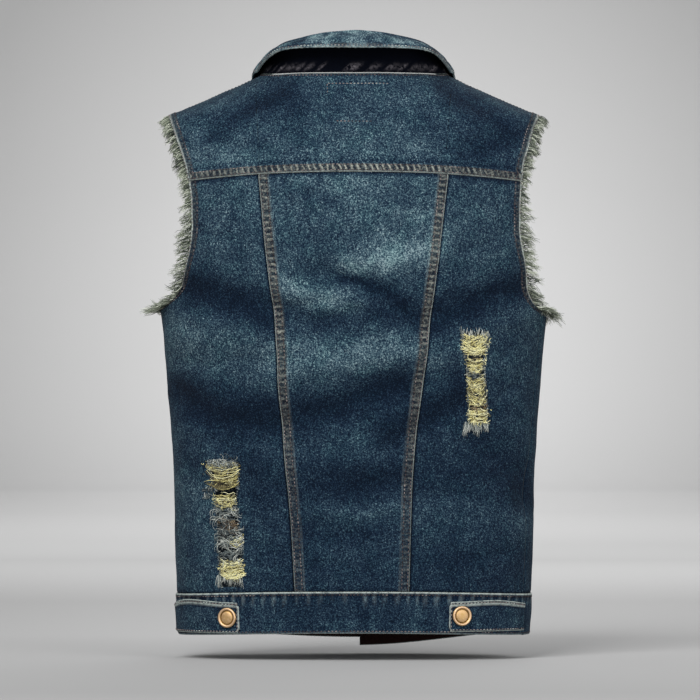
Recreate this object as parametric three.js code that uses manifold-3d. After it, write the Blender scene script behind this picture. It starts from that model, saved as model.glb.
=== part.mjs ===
// A sleeveless denim vest, worn on a hollow general figure, in millimetres with +Z up.
// Its back faces -Y and its fronts face +Y. +X is the wearer's right. The origin lies midway between the two
// points where the neck seam crosses the shoulders. Every cloth piece is a wall laid on one torso form.
import * as THREE from "three";
import { mergeVertices } from "three/addons/utils/BufferGeometryUtils.js";
import Module from "manifold-3d";

const wasm = await Module();
wasm.setup();

const { Vector3 } = THREE;
const RIGHT_ANGLE = Math.PI / 2;
const degrees = THREE.MathUtils.degToRad;
const mix = THREE.MathUtils.lerp;

// Driving sizes
const WALL = 1.6; // one layer of denim with its turnings
const SEAM_GAP = 0.3; // between two pieces that meet
const SEAM_TURN = 0.0011; // half of that gap, as an angle round the figure
const FELL_HEIGHT = 0.7; // how far a felled seam stands up
const FELL_WIDTH = 10;
const NECK_HALF_WIDTH = 103;
const NECK_BACK_Z = -1;
const NECK_FRONT_DROP = 72;
const TIP_X = 206.5; // shoulder tip, where the armhole crosses the shoulder
const YOKE_MID_Z = -111;
const YOKE_END_DROP = 16;
const SHOULDER_REACH = 130; // length given to the quarter turn from the yoke seam up to the shoulder ridge
const SHOULDER_SEAM_FORWARD = 4; // degrees past the ridge at the tip
const UNDERARM_Z = -262.5;
const WAIST_MID_Z = -570;
const WAIST_END_DROP = 4.5;
const HEM_BACK_Z = -616;
const HEM_END_DROP = 4;
const HEM_FRONT_Z = { left: -628, right: -637 };
const HEM_HALF_WIDTH = 195;
const BAND_RAISE = 1.0; // the doubled waistband stands this far out of the panels
const PLACKET_WIDTH = 36;
const PLACKET_STEP = 2.4; // the under front lies this far inside the upper one
const FRONT_EDGE_SHIFT = 24; // how far the closed fronts hang towards the wearer's right at the hem
const UNDER_BAND_STEP = 3.8; // the same for the doubled waistband
const UNDER_BAND_REACH = [20, 48]; // from the middle, where that step begins and ends
const TAB_WALL = 1.8;
const BUTTON_RADIUS = 11;
const COLLAR_WALL = 2.2;
const FRINGE_GAP = 0.85; // between the strip and the panels' edge, which bends
const FRINGE_STRIP = 3.2;
const FRINGE_SPACING = 8;
const FRINGE_ROOT_SHARE = 0.42; // share of the spacing that a strand's root takes
const FRINGE_REACH = [8, 19];
const FRINGE_TIP_SHARE = 0.45;
const FRINGE_LEAN = [-0.35, 0.35]; // along the edge, for each unit of reach
const FRINGE_RISE = [-0.05, 0.3]; // out of the cloth
const FRINGE_DROOP = [0.05, 0.25]; // downwards
const FRINGE_SEED = { left: 0, right: 1000 };
const STRIP_FACES = [-0.1, -1.4]; // the fringe strip's two faces, from the cloth's outer face
const EDGE_TUCK = 0.5; // a free edge lies this far inside the placket's full width
const FOLD_CALM = [8, 40]; // the folds die out this near the plane that parts back from front
const SLOPE_STEP = 0.4; // for measuring the form's slope
const FORM_REACH = 260; // further than any point of the form from its axis
const HALVINGS = 34;
const WELD = 1e-4;

// The torso form: one row for each level.
const FORM_COLUMNS = ["z", "halfWidth", "backDepth", "frontDepth", "squareness"];
const FORM = [
  [60, 60, 50, 28, 2.2],
  [0, 103, 73, 50, 2.2],
  [-10, 121, 79, 57, 2.2],
  [-20, 143, 84, 64, 2.2],
  [-30, 166, 89, 70, 2.2],
  [-40, 190, 93, 75, 2.2],
  [-48, 207.5, 96, 80, 2.25],
  [-60, 219, 100, 86, 2.25],
  [-85, 226, 107, 96, 2.3],
  [-120, 228, 114, 105, 2.3],
  [-180, 224, 121, 116, 2.3],
  [-230, 218, 121, 120, 2.3],
  [-262, 214.5, 119, 121, 2.3],
  [-295, 210.5, 116, 119, 2.3],
  [-330, 207.5, 112, 116, 2.3],
  [-392, 203, 105, 111, 2.35],
  [-444, 199.5, 102, 108, 2.35],
  [-515, 198.5, 103, 106, 2.4],
  [-568, 196, 106, 107, 2.4],
  [-645, 192.5, 108, 108, 2.4],
];

// Seams and edges as seen from behind, each row an x and a z.
const PRINCESS_SEAM = {
  left: [[-104.5, -116], [-97, -196], [-85, -295], [-82, -361], [-71.5, -471], [-65, -570]],
  right: [[103, -116], [91, -218], [77.5, -328], [65.5, -432], [60.5, -570]],
};
const ARMHOLE_BACK = {
  left: [
    [-203.5, -53], [-198, -68], [-187, -100], [-181.5, -121], [-179, -143],
    [-180, -185], [-182.6, -201], [-188, -222], [-196, -241], [-206, -254],
  ],
  right: [
    [203, -53], [196, -75], [188, -100], [185, -121], [183.5, -143],
    [184, -185], [189, -209], [193.5, -232], [196, -246], [200.5, -256],
  ],
};
const YOKE_ROW = 3; // the row of the armhole that lies on the yoke seam
const ARMHOLE_FRONT = [
  [200, -75], [187, -110], [177, -150], [174, -185], [180, -220], [193, -245], [205, -257],
];
// Degrees from centre back, at the underarm and at the waist.
const SIDE_SEAM = { left: [-96, -97], right: [75.5, 71] };

// The largest folds. A negative height is a trough. Each path is a list of x and z.
const FOLDS = {
  back: [
    { height: -3, width: 12, path: [[-81, -12], [-120, -34], [-164, -62]] },
    { height: -3, width: 12, path: [[100, -16], [161, -54]] },
    { height: -3, width: 13, path: [[128, -86], [195, -62]] },
    { height: -5, width: 17, path: [[-191, -240], [-114, -251], [-43, -278], [-4, -267]] },
    {
      height: -5, width: 17,
      path: [[188, -240], [128, -256], [78, -273], [45, -262], [7, -234], [-37, -222]],
    },
    { height: -6, width: 17, path: [[-197, -355], [-147, -388], [-81, -388], [-15, -372], [51, -344]] },
    { height: -4, width: 15, path: [[122, -366], [84, -383], [40, -412]] },
    { height: -5, width: 15, path: [[133, -405], [183, -443], [194, -471]] },
    { height: -2.5, width: 14, path: [[-4, -460], [51, -449]] },
    { height: -2.5, width: 14, path: [[-60, -502], [-4, -509]] },
    { height: 2.5, width: 15, path: [[-81, -245], [7, -249]] },
    { height: 2.5, width: 15, path: [[-4, -207], [94, -207]] },
    { height: 3.5, width: 17, path: [[-202, -292], [-140, -290], [-81, -300]] },
    { height: 4, width: 19, path: [[-92, -335], [0, -318], [106, -310]] },
    { height: 3, width: 18, path: [[-150, -430], [-60, -436], [20, -425]] },
  ],
  front: [
    { height: -5, width: 16, path: [[-178, -226], [-130, -252], [-80, -290]] },
    { height: -5, width: 16, path: [[176, -226], [136, -262], [92, -300]] },
    { height: -4, width: 15, path: [[-120, -60], [-140, -110], [-132, -160]] },
    { height: -4, width: 15, path: [[118, -62], [136, -104], [126, -150]] },
    { height: 4, width: 18, path: [[-160, -300], [-105, -336], [-60, -380]] },
    { height: 4, width: 18, path: [[150, -310], [106, -352], [70, -400]] },
    { height: -5, width: 16, path: [[-186, -380], [-120, -402], [-62, -432]] },
    { height: -5, width: 16, path: [[184, -392], [140, -410], [88, -446]] },
    { height: -3, width: 14, path: [[-110, -470], [-90, -550]] },
    { height: -3, width: 14, path: [[128, -480], [112, -552]] },
  ],
};

// The long rips, worn through to the weft: the hole's two edges at each level.
const RIP_COLUMNS = ["z", "leftX", "rightX"];
const RIPS = {
  left: [
    [-429, -160, -127], [-458, -153, -127], [-472, -152, -130],
    [-500, -150, -126], [-530, -149, -123], [-565, -146, -123],
  ],
  right: [
    [-286, 118, 147], [-304, 118, 146], [-317, 123, 142],
    [-340, 124, 144], [-364, 125, 146], [-386, 126, 147],
  ],
};
const RIP_YARN_PITCH = { left: 8.6, right: 8 };
const RIP_YARN_SHARE = 0.6; // share of the pitch that a bundle of yarns fills
const RIP_GAP = 0.4; // between the hole's edge and the frayed strip that carries the yarns
const RIP_STRIP = 2.2;
const RIP_YARN_START = 0.6; // from the strip's end to the first yarns
const RIP_YARN_BULGE = [0.6, 2.6];
const RIP_YARN_SAG = [0.3, 1.5];
const RIP_FACES = [-0.1, -1.5]; // the yarns' two faces, from the cloth's outer face

// The collar, from centre back (0) to its front end (1). Its roll line and the edge of its fall are measured from
// the neck seam.
const COLLAR_COLUMNS = ["along", "rollIn", "rollUp", "edgeAcross", "edgeOut", "edgeUp"];
const COLLAR = [
  [0, 3, 45.5, 0, 28, 27],
  [0.2, 5, 37, 12, 18, 25],
  [0.35, 8, 27, 8, 8, 10],
  [0.45, 10, 22, 9, 0, -1],
  [0.6, 8, 20, 20, 8, -20],
  [0.8, 5, 18, 22, 14, -42],
  [1, 3, 16, 46, 14, -48],
];
const COLLAR_SIDE = 0.45; // where the seam crosses the shoulder
const COLLAR_ROLL = 7; // width of the soft roll
const COLLAR_ROLL_DROP = 1.5; // from one side of the roll to the other
const COLLAR_BULGE = { out: 2.2, up: 1.2 }; // of the fall, between the roll and its edge
const COLLAR_CLEARANCE = 5; // from the form to the fall's outer face
const NECK_BACK_DEPTH = 73;
const NECK_FRONT_DEPTH = 88;
const COLLAR_FRONT_GAP = 3;
const COLLAR_GAP = { back: 0.5, front: 1.6 }; // from the neck edge, which bends sharply in front

const TABS = {
  left: { endX: -125.5, topZ: -583.5, bottomZ: -616, buttonX: -139, buttonZ: -599.6 },
  right: { endX: 104, topZ: -582, bottomZ: -614.5, buttonX: 116.8, buttonZ: -597 },
};
const FRONT_BUTTON_Z = [-92, -190, -288, -386, -484, -600];
const FRONT_BUTTON_GAP = 0.5; // from the placket, which curves

const DENIM = new THREE.MeshStandardMaterial({ color: 0x1f3644, roughness: 0.92, metalness: 0 });
const FADED = new THREE.MeshStandardMaterial({ color: 0x2c4858, roughness: 0.92, metalness: 0 });
const FRAY = new THREE.MeshStandardMaterial({ color: 0xa9b3a4, roughness: 0.95, metalness: 0 });
const WEFT = new THREE.MeshStandardMaterial({ color: 0xd3bd6e, roughness: 0.95, metalness: 0 });
const BRASS = new THREE.MeshStandardMaterial({ color: 0xa8915a, roughness: 0.42, metalness: 1 });

// A smooth value of one column of a table whose first column rises or falls steadily.
function columnAt(table, key, column) {
  const falling = table[0][0] > table[1][0];
  let i = 0;
  while (i < table.length - 2 && (falling ? key < table[i + 1][0] : key > table[i + 1][0])) i++;
  const slope = (a, b) => (table[b][column] - table[a][column]) / (table[b][0] - table[a][0]);
  const last = table.length - 1;
  const span = table[i + 1][0] - table[i][0];
  const t = THREE.MathUtils.clamp((key - table[i][0]) / span, 0, 1);
  const startSlope = slope(Math.max(i - 1, 0), i + 1) * span;
  const endSlope = slope(i, Math.min(i + 2, last)) * span;
  const [a, b] = [table[i][column], table[i + 1][column]];
  return (
    a * (2 * t ** 3 - 3 * t ** 2 + 1) + startSlope * (t ** 3 - 2 * t ** 2 + t) +
    b * (3 * t ** 2 - 2 * t ** 3) + endSlope * (t ** 3 - t ** 2)
  );
}

const column = (names, name) => names.indexOf(name);

function ringAt(z) {
  const value = (name) => columnAt(FORM, z, column(FORM_COLUMNS, name));
  return {
    halfWidth: value("halfWidth"),
    back: value("backDepth"),
    front: value("frontDepth"),
    power: value("squareness"),
  };
}

// A point of the form at an angle from centre back, positive towards the wearer's right.
function ringPoint(angle, z) {
  const ring = ringAt(z);
  const [s, c] = [Math.sin(angle), Math.cos(angle)];
  const grow = 2 / ring.power;
  const depth = c > 0 ? -ring.back : ring.front;
  return new Vector3(ring.halfWidth * Math.sign(s) * Math.abs(s) ** grow, depth * Math.abs(c) ** grow, z);
}

// Negative inside the form, zero on it and positive outside.
function formLevel(x, y, z) {
  const ring = ringAt(z);
  const depth = y < 0 ? ring.back : ring.front;
  return Math.abs(x / ring.halfWidth) ** ring.power + Math.abs(y / depth) ** ring.power - 1;
}

function formSlope(p) {
  const h = SLOPE_STEP;
  return new Vector3(
    formLevel(p.x + h, p.y, p.z) - formLevel(p.x - h, p.y, p.z),
    formLevel(p.x, p.y + h, p.z) - formLevel(p.x, p.y - h, p.z),
    formLevel(p.x, p.y, p.z + h) - formLevel(p.x, p.y, p.z - h),
  ).divideScalar(2 * h);
}

const formNormal = (p) => formSlope(p).normalize();

function yokeLine(angle) {
  return YOKE_MID_Z - YOKE_END_DROP * Math.sin(angle) ** 2;
}

// A point of the form at an angle and a height. Below the yoke seam the height is a drop in z. Above it, the
// point turns up and over the shoulder in the plane of its own x.
function formPoint(angle, height) {
  const start = ringPoint(angle, yokeLine(angle) + Math.min(height, 0));
  if (height <= 0) return start;
  const turn = (height / SHOULDER_REACH) * RIGHT_ANGLE;
  const way = new Vector3(0, Math.sign(start.y) * Math.cos(turn), Math.sin(turn));
  let near = 0;
  let far = FORM_REACH;
  for (let i = 0; i < HALVINGS; i++) {
    const middle = (near + far) / 2;
    const outside = formLevel(start.x, way.y * middle, start.z + way.z * middle) > 0;
    if (outside) far = middle;
    else near = middle;
  }
  return new Vector3(start.x, way.y * near, start.z + way.z * near);
}

// The angle from the middle at which the yoke line passes a distance across.
function yokeTurn(across) {
  let low = 0;
  let high = RIGHT_ANGLE;
  for (let i = 0; i < HALVINGS; i++) {
    const middle = (low + high) / 2;
    if (ringPoint(middle, yokeLine(middle)).x < across) low = middle;
    else high = middle;
  }
  return low;
}

// The angle and height of the form's point at an x and a z, behind or in front. A front's side is 1 or -1.
function seat(x, z, front = false, side = Math.sign(x)) {
  const across = Math.abs(x);
  let turn = yokeTurn(across);
  const ring = ringAt(z);
  let height;
  if (z > yokeLine(turn)) {
    const share = Math.max(0, 1 - (across / ring.halfWidth) ** ring.power) ** (1 / ring.power);
    const depth = (front ? ring.front : ring.back) * share;
    height = (Math.atan2(z - yokeLine(turn), depth) / RIGHT_ANGLE) * SHOULDER_REACH;
  } else {
    turn = Math.asin(Math.min(1, across / ring.halfWidth) ** (ring.power / 2));
    height = z - yokeLine(turn);
  }
  const signed = turn * (Math.sign(x) === side ? 1 : -1);
  return [front ? side * (Math.PI - signed) : Math.sign(x) * turn, height];
}

// The seat of a point over the shoulder, turned by some degrees from level.
function seatTurned(x, turn, front) {
  const angle = yokeTurn(Math.abs(x));
  return [Math.sign(x) * (front ? Math.PI - angle : angle), (turn / 90) * SHOULDER_REACH];
}

function distanceToPath(x, z, path) {
  let best = Infinity;
  for (let i = 0; i + 1 < path.length; i++) {
    const [ax, az] = path[i];
    const [bx, bz] = path[i + 1];
    const along = ((x - ax) * (bx - ax) + (z - az) * (bz - az)) / ((bx - ax) ** 2 + (bz - az) ** 2);
    const t = THREE.MathUtils.clamp(along, 0, 1);
    best = Math.min(best, Math.hypot(x - mix(ax, bx, t), z - mix(az, bz, t)));
  }
  return best;
}

function foldHeight(p) {
  const folds = p.y < 0 ? FOLDS.back : FOLDS.front;
  const calm = THREE.MathUtils.smoothstep(Math.abs(p.y), ...FOLD_CALM);
  return folds.reduce((sum, fold) => {
    const away = distanceToPath(p.x, p.z, fold.path) / fold.width;
    return sum + calm * fold.height * Math.exp(-away * away);
  }, 0);
}

// A cloth point on the form, moved out by its folds and by a further lift.
function clothPoint([angle, height], lift = 0) {
  const p = formPoint(angle, height);
  const normal = formNormal(p);
  return { at: p.clone().addScaledVector(normal, foldHeight(p) + lift), normal };
}

// Fills a four-sided patch between its edges. Each edge gives an angle and a height for a share from 0 to 1.
function patch({ top, bottom, start, end, across, down }) {
  const corner = [top(0), top(1), bottom(0), bottom(1)];
  return down.map((v) => {
    const [s, e] = [start(v), end(v)];
    return across.map((u) => {
      const [t, b] = [top(u), bottom(u)];
      return [0, 1].map(
        (k) =>
          (1 - v) * t[k] + v * b[k] + (1 - u) * s[k] + u * e[k] -
          (1 - u) * (1 - v) * corner[0][k] - u * (1 - v) * corner[1][k] -
          (1 - u) * v * corner[2][k] - u * v * corner[3][k],
      );
    });
  });
}

const steps = (count) => Array.from({ length: count + 1 }, (_, i) => i / count);

// A closed solid between two grids of points, its triangles turned to face out.
function solidBetween(outer, inner) {
  const rows = outer.length;
  const columns = outer[0].length;
  const points = [...outer.flat(), ...inner.flat()];
  const faces = [];
  const quad = (a, b, c, d) => faces.push(a, b, c, a, c, d);
  const id = (layer, i, j) => layer * rows * columns + i * columns + j;
  for (let i = 0; i + 1 < rows; i++) {
    for (let j = 0; j + 1 < columns; j++) {
      quad(id(0, i, j), id(0, i + 1, j), id(0, i + 1, j + 1), id(0, i, j + 1));
      quad(id(1, i, j), id(1, i, j + 1), id(1, i + 1, j + 1), id(1, i + 1, j));
    }
  }
  for (let i = 0; i + 1 < rows; i++) {
    quad(id(0, i, 0), id(1, i, 0), id(1, i + 1, 0), id(0, i + 1, 0));
    quad(id(0, i + 1, columns - 1), id(1, i + 1, columns - 1), id(1, i, columns - 1), id(0, i, columns - 1));
  }
  for (let j = 0; j + 1 < columns; j++) {
    quad(id(0, 0, j + 1), id(1, 0, j + 1), id(1, 0, j), id(0, 0, j));
    quad(id(0, rows - 1, j), id(1, rows - 1, j), id(1, rows - 1, j + 1), id(0, rows - 1, j + 1));
  }
  return facingOut(points, faces);
}

function facingOut(points, faces) {
  let volume = 0;
  for (let i = 0; i < faces.length; i += 3) {
    const [a, b, c] = [points[faces[i]], points[faces[i + 1]], points[faces[i + 2]]];
    volume += a.dot(new Vector3().crossVectors(b, c));
  }
  if (volume < 0) faces.reverse();
  const geometry = new THREE.BufferGeometry();
  geometry.setAttribute("position", new THREE.Float32BufferAttribute(points.flatMap((p) => p.toArray()), 3));
  geometry.setIndex(faces);
  return geometry;
}

// A cloth wall on a grid of seats. The lift moves its outer face only, and the shift moves both faces.
function clothWall(seats, { lift = () => 0, wall = WALL, shift = () => 0 } = {}) {
  const outer = [];
  const inner = [];
  seats.forEach((row, i) => {
    outer.push(row.map((place, j) => clothPoint(place, shift(i, j) + lift(i, j)).at));
    inner.push(row.map((place, j) => clothPoint(place, shift(i, j) - wall).at));
  });
  return { geometry: solidBetween(outer, inner), outer, inner };
}

function asManifold(geometry) {
  const bare = geometry.clone();
  bare.deleteAttribute("normal");
  bare.deleteAttribute("uv");
  const merged = mergeVertices(bare, WELD);
  return new wasm.Manifold(
    new wasm.Mesh({
      numProp: 3,
      vertProperties: new Float32Array(merged.attributes.position.array),
      triVerts: new Uint32Array(merged.index.array),
    }),
  );
}

function asGeometry(solid) {
  const made = solid.getMesh();
  const geometry = new THREE.BufferGeometry();
  geometry.setAttribute("position", new THREE.BufferAttribute(new Float32Array(made.vertProperties), 3));
  geometry.setIndex(new THREE.BufferAttribute(new Uint32Array(made.triVerts), 1));
  return geometry;
}

const vest = new THREE.Group();

function addPiece(name, geometry, material) {
  const mesh = new THREE.Mesh(geometry, material);
  mesh.name = name;
  vest.add(mesh);
  return mesh;
}

// A smooth line through seats, by its own length. Angles are stretched to millimetres while it is measured.
function seamLine(seats) {
  const perRadian = 150;
  const curve = new THREE.CatmullRomCurve3(
    seats.map(([angle, height]) => new Vector3(angle * perRadian, height, 0)),
    false,
    "centripetal",
  );
  return (t) => {
    const p = curve.getPointAt(THREE.MathUtils.clamp(t, 0, 1));
    return [p.x / perRadian, p.y];
  };
}

const waistLine = (angle) => WAIST_MID_Z - WAIST_END_DROP * Math.sin(angle) ** 2;
const waistHeight = (angle) => waistLine(angle) - yokeLine(angle);

function sideAngle(side, z) {
  const [high, low] = SIDE_SEAM[side];
  return degrees(mix(high, low, (UNDERARM_Z - z) / (UNDERARM_Z - WAIST_MID_Z)));
}

function underarm(side) {
  const angle = sideAngle(side, UNDERARM_Z);
  return [angle, UNDERARM_Z - yokeLine(angle)];
}

// Rows of the panels below the yoke: ten beside the armhole, then twelve down the side seam.
const ARM_SHARE = 0.32;
const BACK_INNER_SHARE = 0.4; // how far down its inner edge a panel's underarm row starts, so that rows dip
const FRONT_INNER_SHARE = 0.52;
const rowDrop = (v, inner) =>
  v <= ARM_SHARE ? (v / ARM_SHARE) * inner : mix(inner, 1, (v - ARM_SHARE) / (1 - ARM_SHARE));
const ARM_ROWS = 10;
const SIDE_ROWS = 12;
const PANEL_ROWS = [
  ...steps(ARM_ROWS).map((t) => t * ARM_SHARE),
  ...steps(SIDE_ROWS).slice(1).map((t) => mix(ARM_SHARE, 1, t)),
];

// The edge that runs round the armhole and on down the side seam.
function armholeThenSide(side, armhole) {
  return (v) => {
    if (v <= ARM_SHARE) return armhole(v / ARM_SHARE);
    const t = (v - ARM_SHARE) / (1 - ARM_SHARE);
    const angle = mix(sideAngle(side, UNDERARM_Z), sideAngle(side, WAIST_MID_Z), t);
    return [angle, mix(underarm(side)[1], waistHeight(angle) + SEAM_GAP / 2, t)];
  };
}

function princessLine(side) {
  const table = PRINCESS_SEAM[side].map(([x, z]) => [z, x]);
  return (v) => {
    const drop = rowDrop(v, BACK_INNER_SHARE);
    const z = mix(YOKE_MID_Z, WAIST_MID_Z, drop);
    const [angle] = seat(columnAt(table, z, 1), z);
    return [angle, mix(-SEAM_GAP / 2, waistHeight(angle) + SEAM_GAP / 2, drop)];
  };
}

const turnSeam = (line, turn) => (v) => {
  const [angle, height] = line(v);
  return [angle + turn, height];
};

const level = (start, end, heightOf) => (u) => {
  const angle = mix(start, end, u);
  return [angle, heightOf(angle)];
};

const CENTRE_PANEL_WIDTH = 190;

function buildCentrePanel() {
  const start = turnSeam(princessLine("left"), SEAM_TURN);
  const end = turnSeam(princessLine("right"), -SEAM_TURN);
  const fell = FELL_WIDTH / CENTRE_PANEL_WIDTH;
  const across = [0, fell, ...steps(8).slice(1, -1).map((t) => mix(fell, 1 - fell, t)), 1 - fell, 1];
  const seats = patch({
    top: level(start(0)[0], end(0)[0], () => -SEAM_GAP / 2),
    bottom: level(start(1)[0], end(1)[0], (angle) => waistHeight(angle) + SEAM_GAP / 2),
    start, end, across, down: PANEL_ROWS,
  });
  const lift = (i, j) => (j < 1 || j > across.length - 2 ? FELL_HEIGHT : 0);
  return clothWall(seats, { lift });
}

function buildSidePanel(side) {
  const sign = side === "left" ? -1 : 1;
  const armSeats = ARMHOLE_BACK[side].slice(YOKE_ROW).map(([x, z]) => seat(x, z));
  armSeats[0][1] = -SEAM_GAP / 2;
  const armhole = seamLine([...armSeats, underarm(side)]);
  const start = turnSeam(princessLine(side), sign * SEAM_TURN);
  const end = armholeThenSide(side, armhole);
  const trimmedEnd = (v) => (v > ARM_SHARE ? turnSeam(end, -sign * SEAM_TURN)(v) : end(v));
  const seats = patch({
    top: level(start(0)[0], end(0)[0], () => -SEAM_GAP / 2),
    bottom: level(start(1)[0], trimmedEnd(1)[0], (angle) => waistHeight(angle) + SEAM_GAP / 2),
    start, end: trimmedEnd, across: steps(7), down: PANEL_ROWS,
  });
  return clothWall(seats);
}

// Columns of the yoke: seven round each half of the neck and four along each shoulder.
const NECK_COLUMNS = 7;
const SHOULDER_COLUMNS = 4;
const YOKE_COLUMNS = NECK_COLUMNS + SHOULDER_COLUMNS;

// Degrees from level at which the shoulder seam runs.
function shoulderTurn(x) {
  return 90 + (SHOULDER_SEAM_FORWARD * (Math.abs(x) - NECK_HALF_WIDTH)) / (TIP_X - NECK_HALF_WIDTH);
}

function yokeX(k, outerX) {
  const n = Math.abs(k);
  const x = n <= NECK_COLUMNS
    ? NECK_HALF_WIDTH * Math.sin((n / NECK_COLUMNS) * RIGHT_ANGLE)
    : mix(NECK_HALF_WIDTH, outerX, (n - NECK_COLUMNS) / SHOULDER_COLUMNS);
  return Math.sign(k) * x;
}

function buildYoke() {
  const columnOf = (u) => Math.round(u * 2 * YOKE_COLUMNS) - YOKE_COLUMNS;
  const edgeX = (k) => (k < 0 ? -ARMHOLE_BACK.left[YOKE_ROW][0] : ARMHOLE_BACK.right[YOKE_ROW][0]);
  const gapHeight = SEAM_GAP / 2;
  const tip = (sign) => seatTurned(sign * TIP_X, shoulderTurn(TIP_X), false);
  const side = (name, sign) => {
    const rows = ARMHOLE_BACK[name].slice(0, YOKE_ROW + 1).map(([x, z]) => seat(x, z)).reverse();
    rows[0][1] = gapHeight;
    const top = tip(sign);
    top[1] -= gapHeight;
    return seamLine([...rows, top]);
  };
  const upper = (u) => {
    const k = columnOf(u);
    const x = yokeX(k, TIP_X);
    if (Math.abs(k) >= NECK_COLUMNS) {
      const [angle, height] = seatTurned(x, shoulderTurn(x), false);
      return [angle, height - gapHeight];
    }
    return seat(x, NECK_BACK_Z);
  };
  const lower = (u) => {
    const k = columnOf(u);
    return [seatTurned(yokeX(k, edgeX(k)), 0, false)[0], gapHeight];
  };
  const fell = FELL_WIDTH / SHOULDER_REACH;
  const down = [0, fell, ...steps(8).slice(1).map((t) => mix(fell, 1, t))];
  const seats = patch({
    top: lower, bottom: upper, start: side("left", -1), end: side("right", 1),
    across: steps(2 * YOKE_COLUMNS), down,
  });
  return clothWall(seats, { lift: (i) => (i === 0 ? FELL_HEIGHT : 0) });
}

// The front neckline's level at an x: flat over the plackets, then a squarish curve up to the shoulder.
const NECK_FLAT = PLACKET_WIDTH / 2 + 1;
const NECK_SQUARENESS = 2.1;

function neckFrontZ(x) {
  const across = Math.max(0, Math.abs(x) - NECK_FLAT) / (NECK_HALF_WIDTH - NECK_FLAT);
  return -NECK_FRONT_DROP * Math.max(0, 1 - across ** NECK_SQUARENESS) ** (1 / NECK_SQUARENESS);
}

// The middle of the closed fronts, which hang a little to one side.
function frontMiddle(z) {
  return (FRONT_EDGE_SHIFT * Math.max(0, -z - NECK_FRONT_DROP)) / (-WAIST_MID_Z - NECK_FRONT_DROP);
}

// The line down a front, some way past its middle, from the neck seam to the waist seam.
function frontLine(side, past) {
  const sign = side === "left" ? -1 : 1;
  const topZ = neckFrontZ(past) - SEAM_GAP / 2;
  return (v) => {
    const z = mix(topZ, WAIST_MID_Z + SEAM_GAP / 2, rowDrop(v, FRONT_INNER_SHARE));
    return seat(frontMiddle(z) + past, z, true, sign);
  };
}

const FRONT_NECK_COLUMNS = 7;
const FRONT_SHOULDER_COLUMNS = 4;
const FRONT_COLUMNS = FRONT_NECK_COLUMNS + FRONT_SHOULDER_COLUMNS;

function buildFrontPanel(side) {
  const sign = side === "left" ? -1 : 1;
  const past = sign * (PLACKET_WIDTH / 2 + SEAM_GAP / 2);
  const start = frontLine(side, past);
  const neckStart = Math.asin(Math.abs(past) / NECK_HALF_WIDTH);
  const neckPoint = seatTurned(sign * NECK_HALF_WIDTH, 90, true);
  const neckSeats = steps(16).slice(0, -1).map((t) => {
    const x = sign * NECK_HALF_WIDTH * Math.sin(mix(neckStart, RIGHT_ANGLE, 1 - (1 - t) ** 2));
    return seat(x, neckFrontZ(x) - SEAM_GAP / 2, true, sign);
  });
  const neck = seamLine([...neckSeats, [neckPoint[0], neckPoint[1] - SEAM_GAP / 2]]);
  const top = (u) => {
    const k = u * FRONT_COLUMNS;
    if (k === 0) return start(0);
    if (Math.round(k) <= FRONT_NECK_COLUMNS) return neck(k / FRONT_NECK_COLUMNS);
    const x = sign * mix(NECK_HALF_WIDTH, TIP_X, (k - FRONT_NECK_COLUMNS) / FRONT_SHOULDER_COLUMNS);
    const [angle, height] = seatTurned(x, 180 - shoulderTurn(x), true);
    return [angle, height - SEAM_GAP / 2];
  };
  const armSeats = ARMHOLE_FRONT.map(([x, z]) => seat(sign * x, z, true, sign));
  const armhole = seamLine([top(1), ...armSeats, underarm(side)]);
  const end = armholeThenSide(side, armhole);
  const trimmedEnd = (v) => (v > ARM_SHARE ? turnSeam(end, sign * SEAM_TURN)(v) : end(v));
  const seats = patch({
    top,
    bottom: level(start(1)[0], trimmedEnd(1)[0], (angle) => waistHeight(angle) + SEAM_GAP / 2),
    start, end: trimmedEnd, across: steps(FRONT_COLUMNS), down: PANEL_ROWS,
  });
  // The under front's first column sinks below the upper front.
  const shift = (i, j) => (side === "right" && j === 0 ? -PLACKET_STEP : 0);
  return clothWall(seats, { shift });
}

function buildPlacket(side) {
  const under = side === "right";
  const sign = under ? 1 : -1;
  const half = PLACKET_WIDTH / 2;
  const start = frontLine(side, -sign * (half - EDGE_TUCK));
  const end = frontLine(side, sign * (half - SEAM_GAP / 2));
  const seats = PANEL_ROWS.map((v) => {
    const [s, e] = [start(v), end(v)];
    return steps(2).map((u) => [mix(s[0], e[0], u), mix(s[1], e[1], u)]);
  });
  return clothWall(seats, under ? { shift: () => -PLACKET_STEP } : { lift: () => FELL_HEIGHT });
}

const hemSpread = (x) => Math.min(1, Math.abs(x) / HEM_HALF_WIDTH);
const hemBackZ = (x) => HEM_BACK_Z - HEM_END_DROP * hemSpread(x) ** 2;

// The front hem hangs lower towards its middle.
function hemFrontZ(side, x) {
  return mix(hemBackZ(x), HEM_FRONT_Z[side], (1 - hemSpread(x) ** 2) ** 1.5);
}

// A length of waistband through some angles, with a way to step in along it.
function buildBand(angles, hemOf, shift = () => 0) {
  const seats = steps(3).map((v) =>
    angles.map((angle) => {
      const x = ringPoint(angle, WAIST_MID_Z).x;
      return [angle, mix(waistLine(angle) - SEAM_GAP / 2, hemOf(x), v) - yokeLine(angle)];
    }),
  );
  return clothWall(seats, { lift: () => BAND_RAISE, shift });
}

const between = (start, end, count) => steps(count).map((t) => mix(start, end, t));

// The angles of a tab's columns, from the side seam to its free end. The back waistband has the same ones.
function tabAngles(side) {
  const seam = sideAngle(side, WAIST_MID_Z) - Math.sign(TABS[side].endX) * SEAM_TURN;
  return between(seam, seat(TABS[side].endX, TABS[side].topZ)[0], 7);
}

function buildBandBack() {
  const [left, right] = ["left", "right"].map(tabAngles);
  const angles = [...left, ...between(left.at(-1), right.at(-1), 12).slice(1, -1), ...right.reverse()];
  return buildBand(angles, hemBackZ);
}

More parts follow.
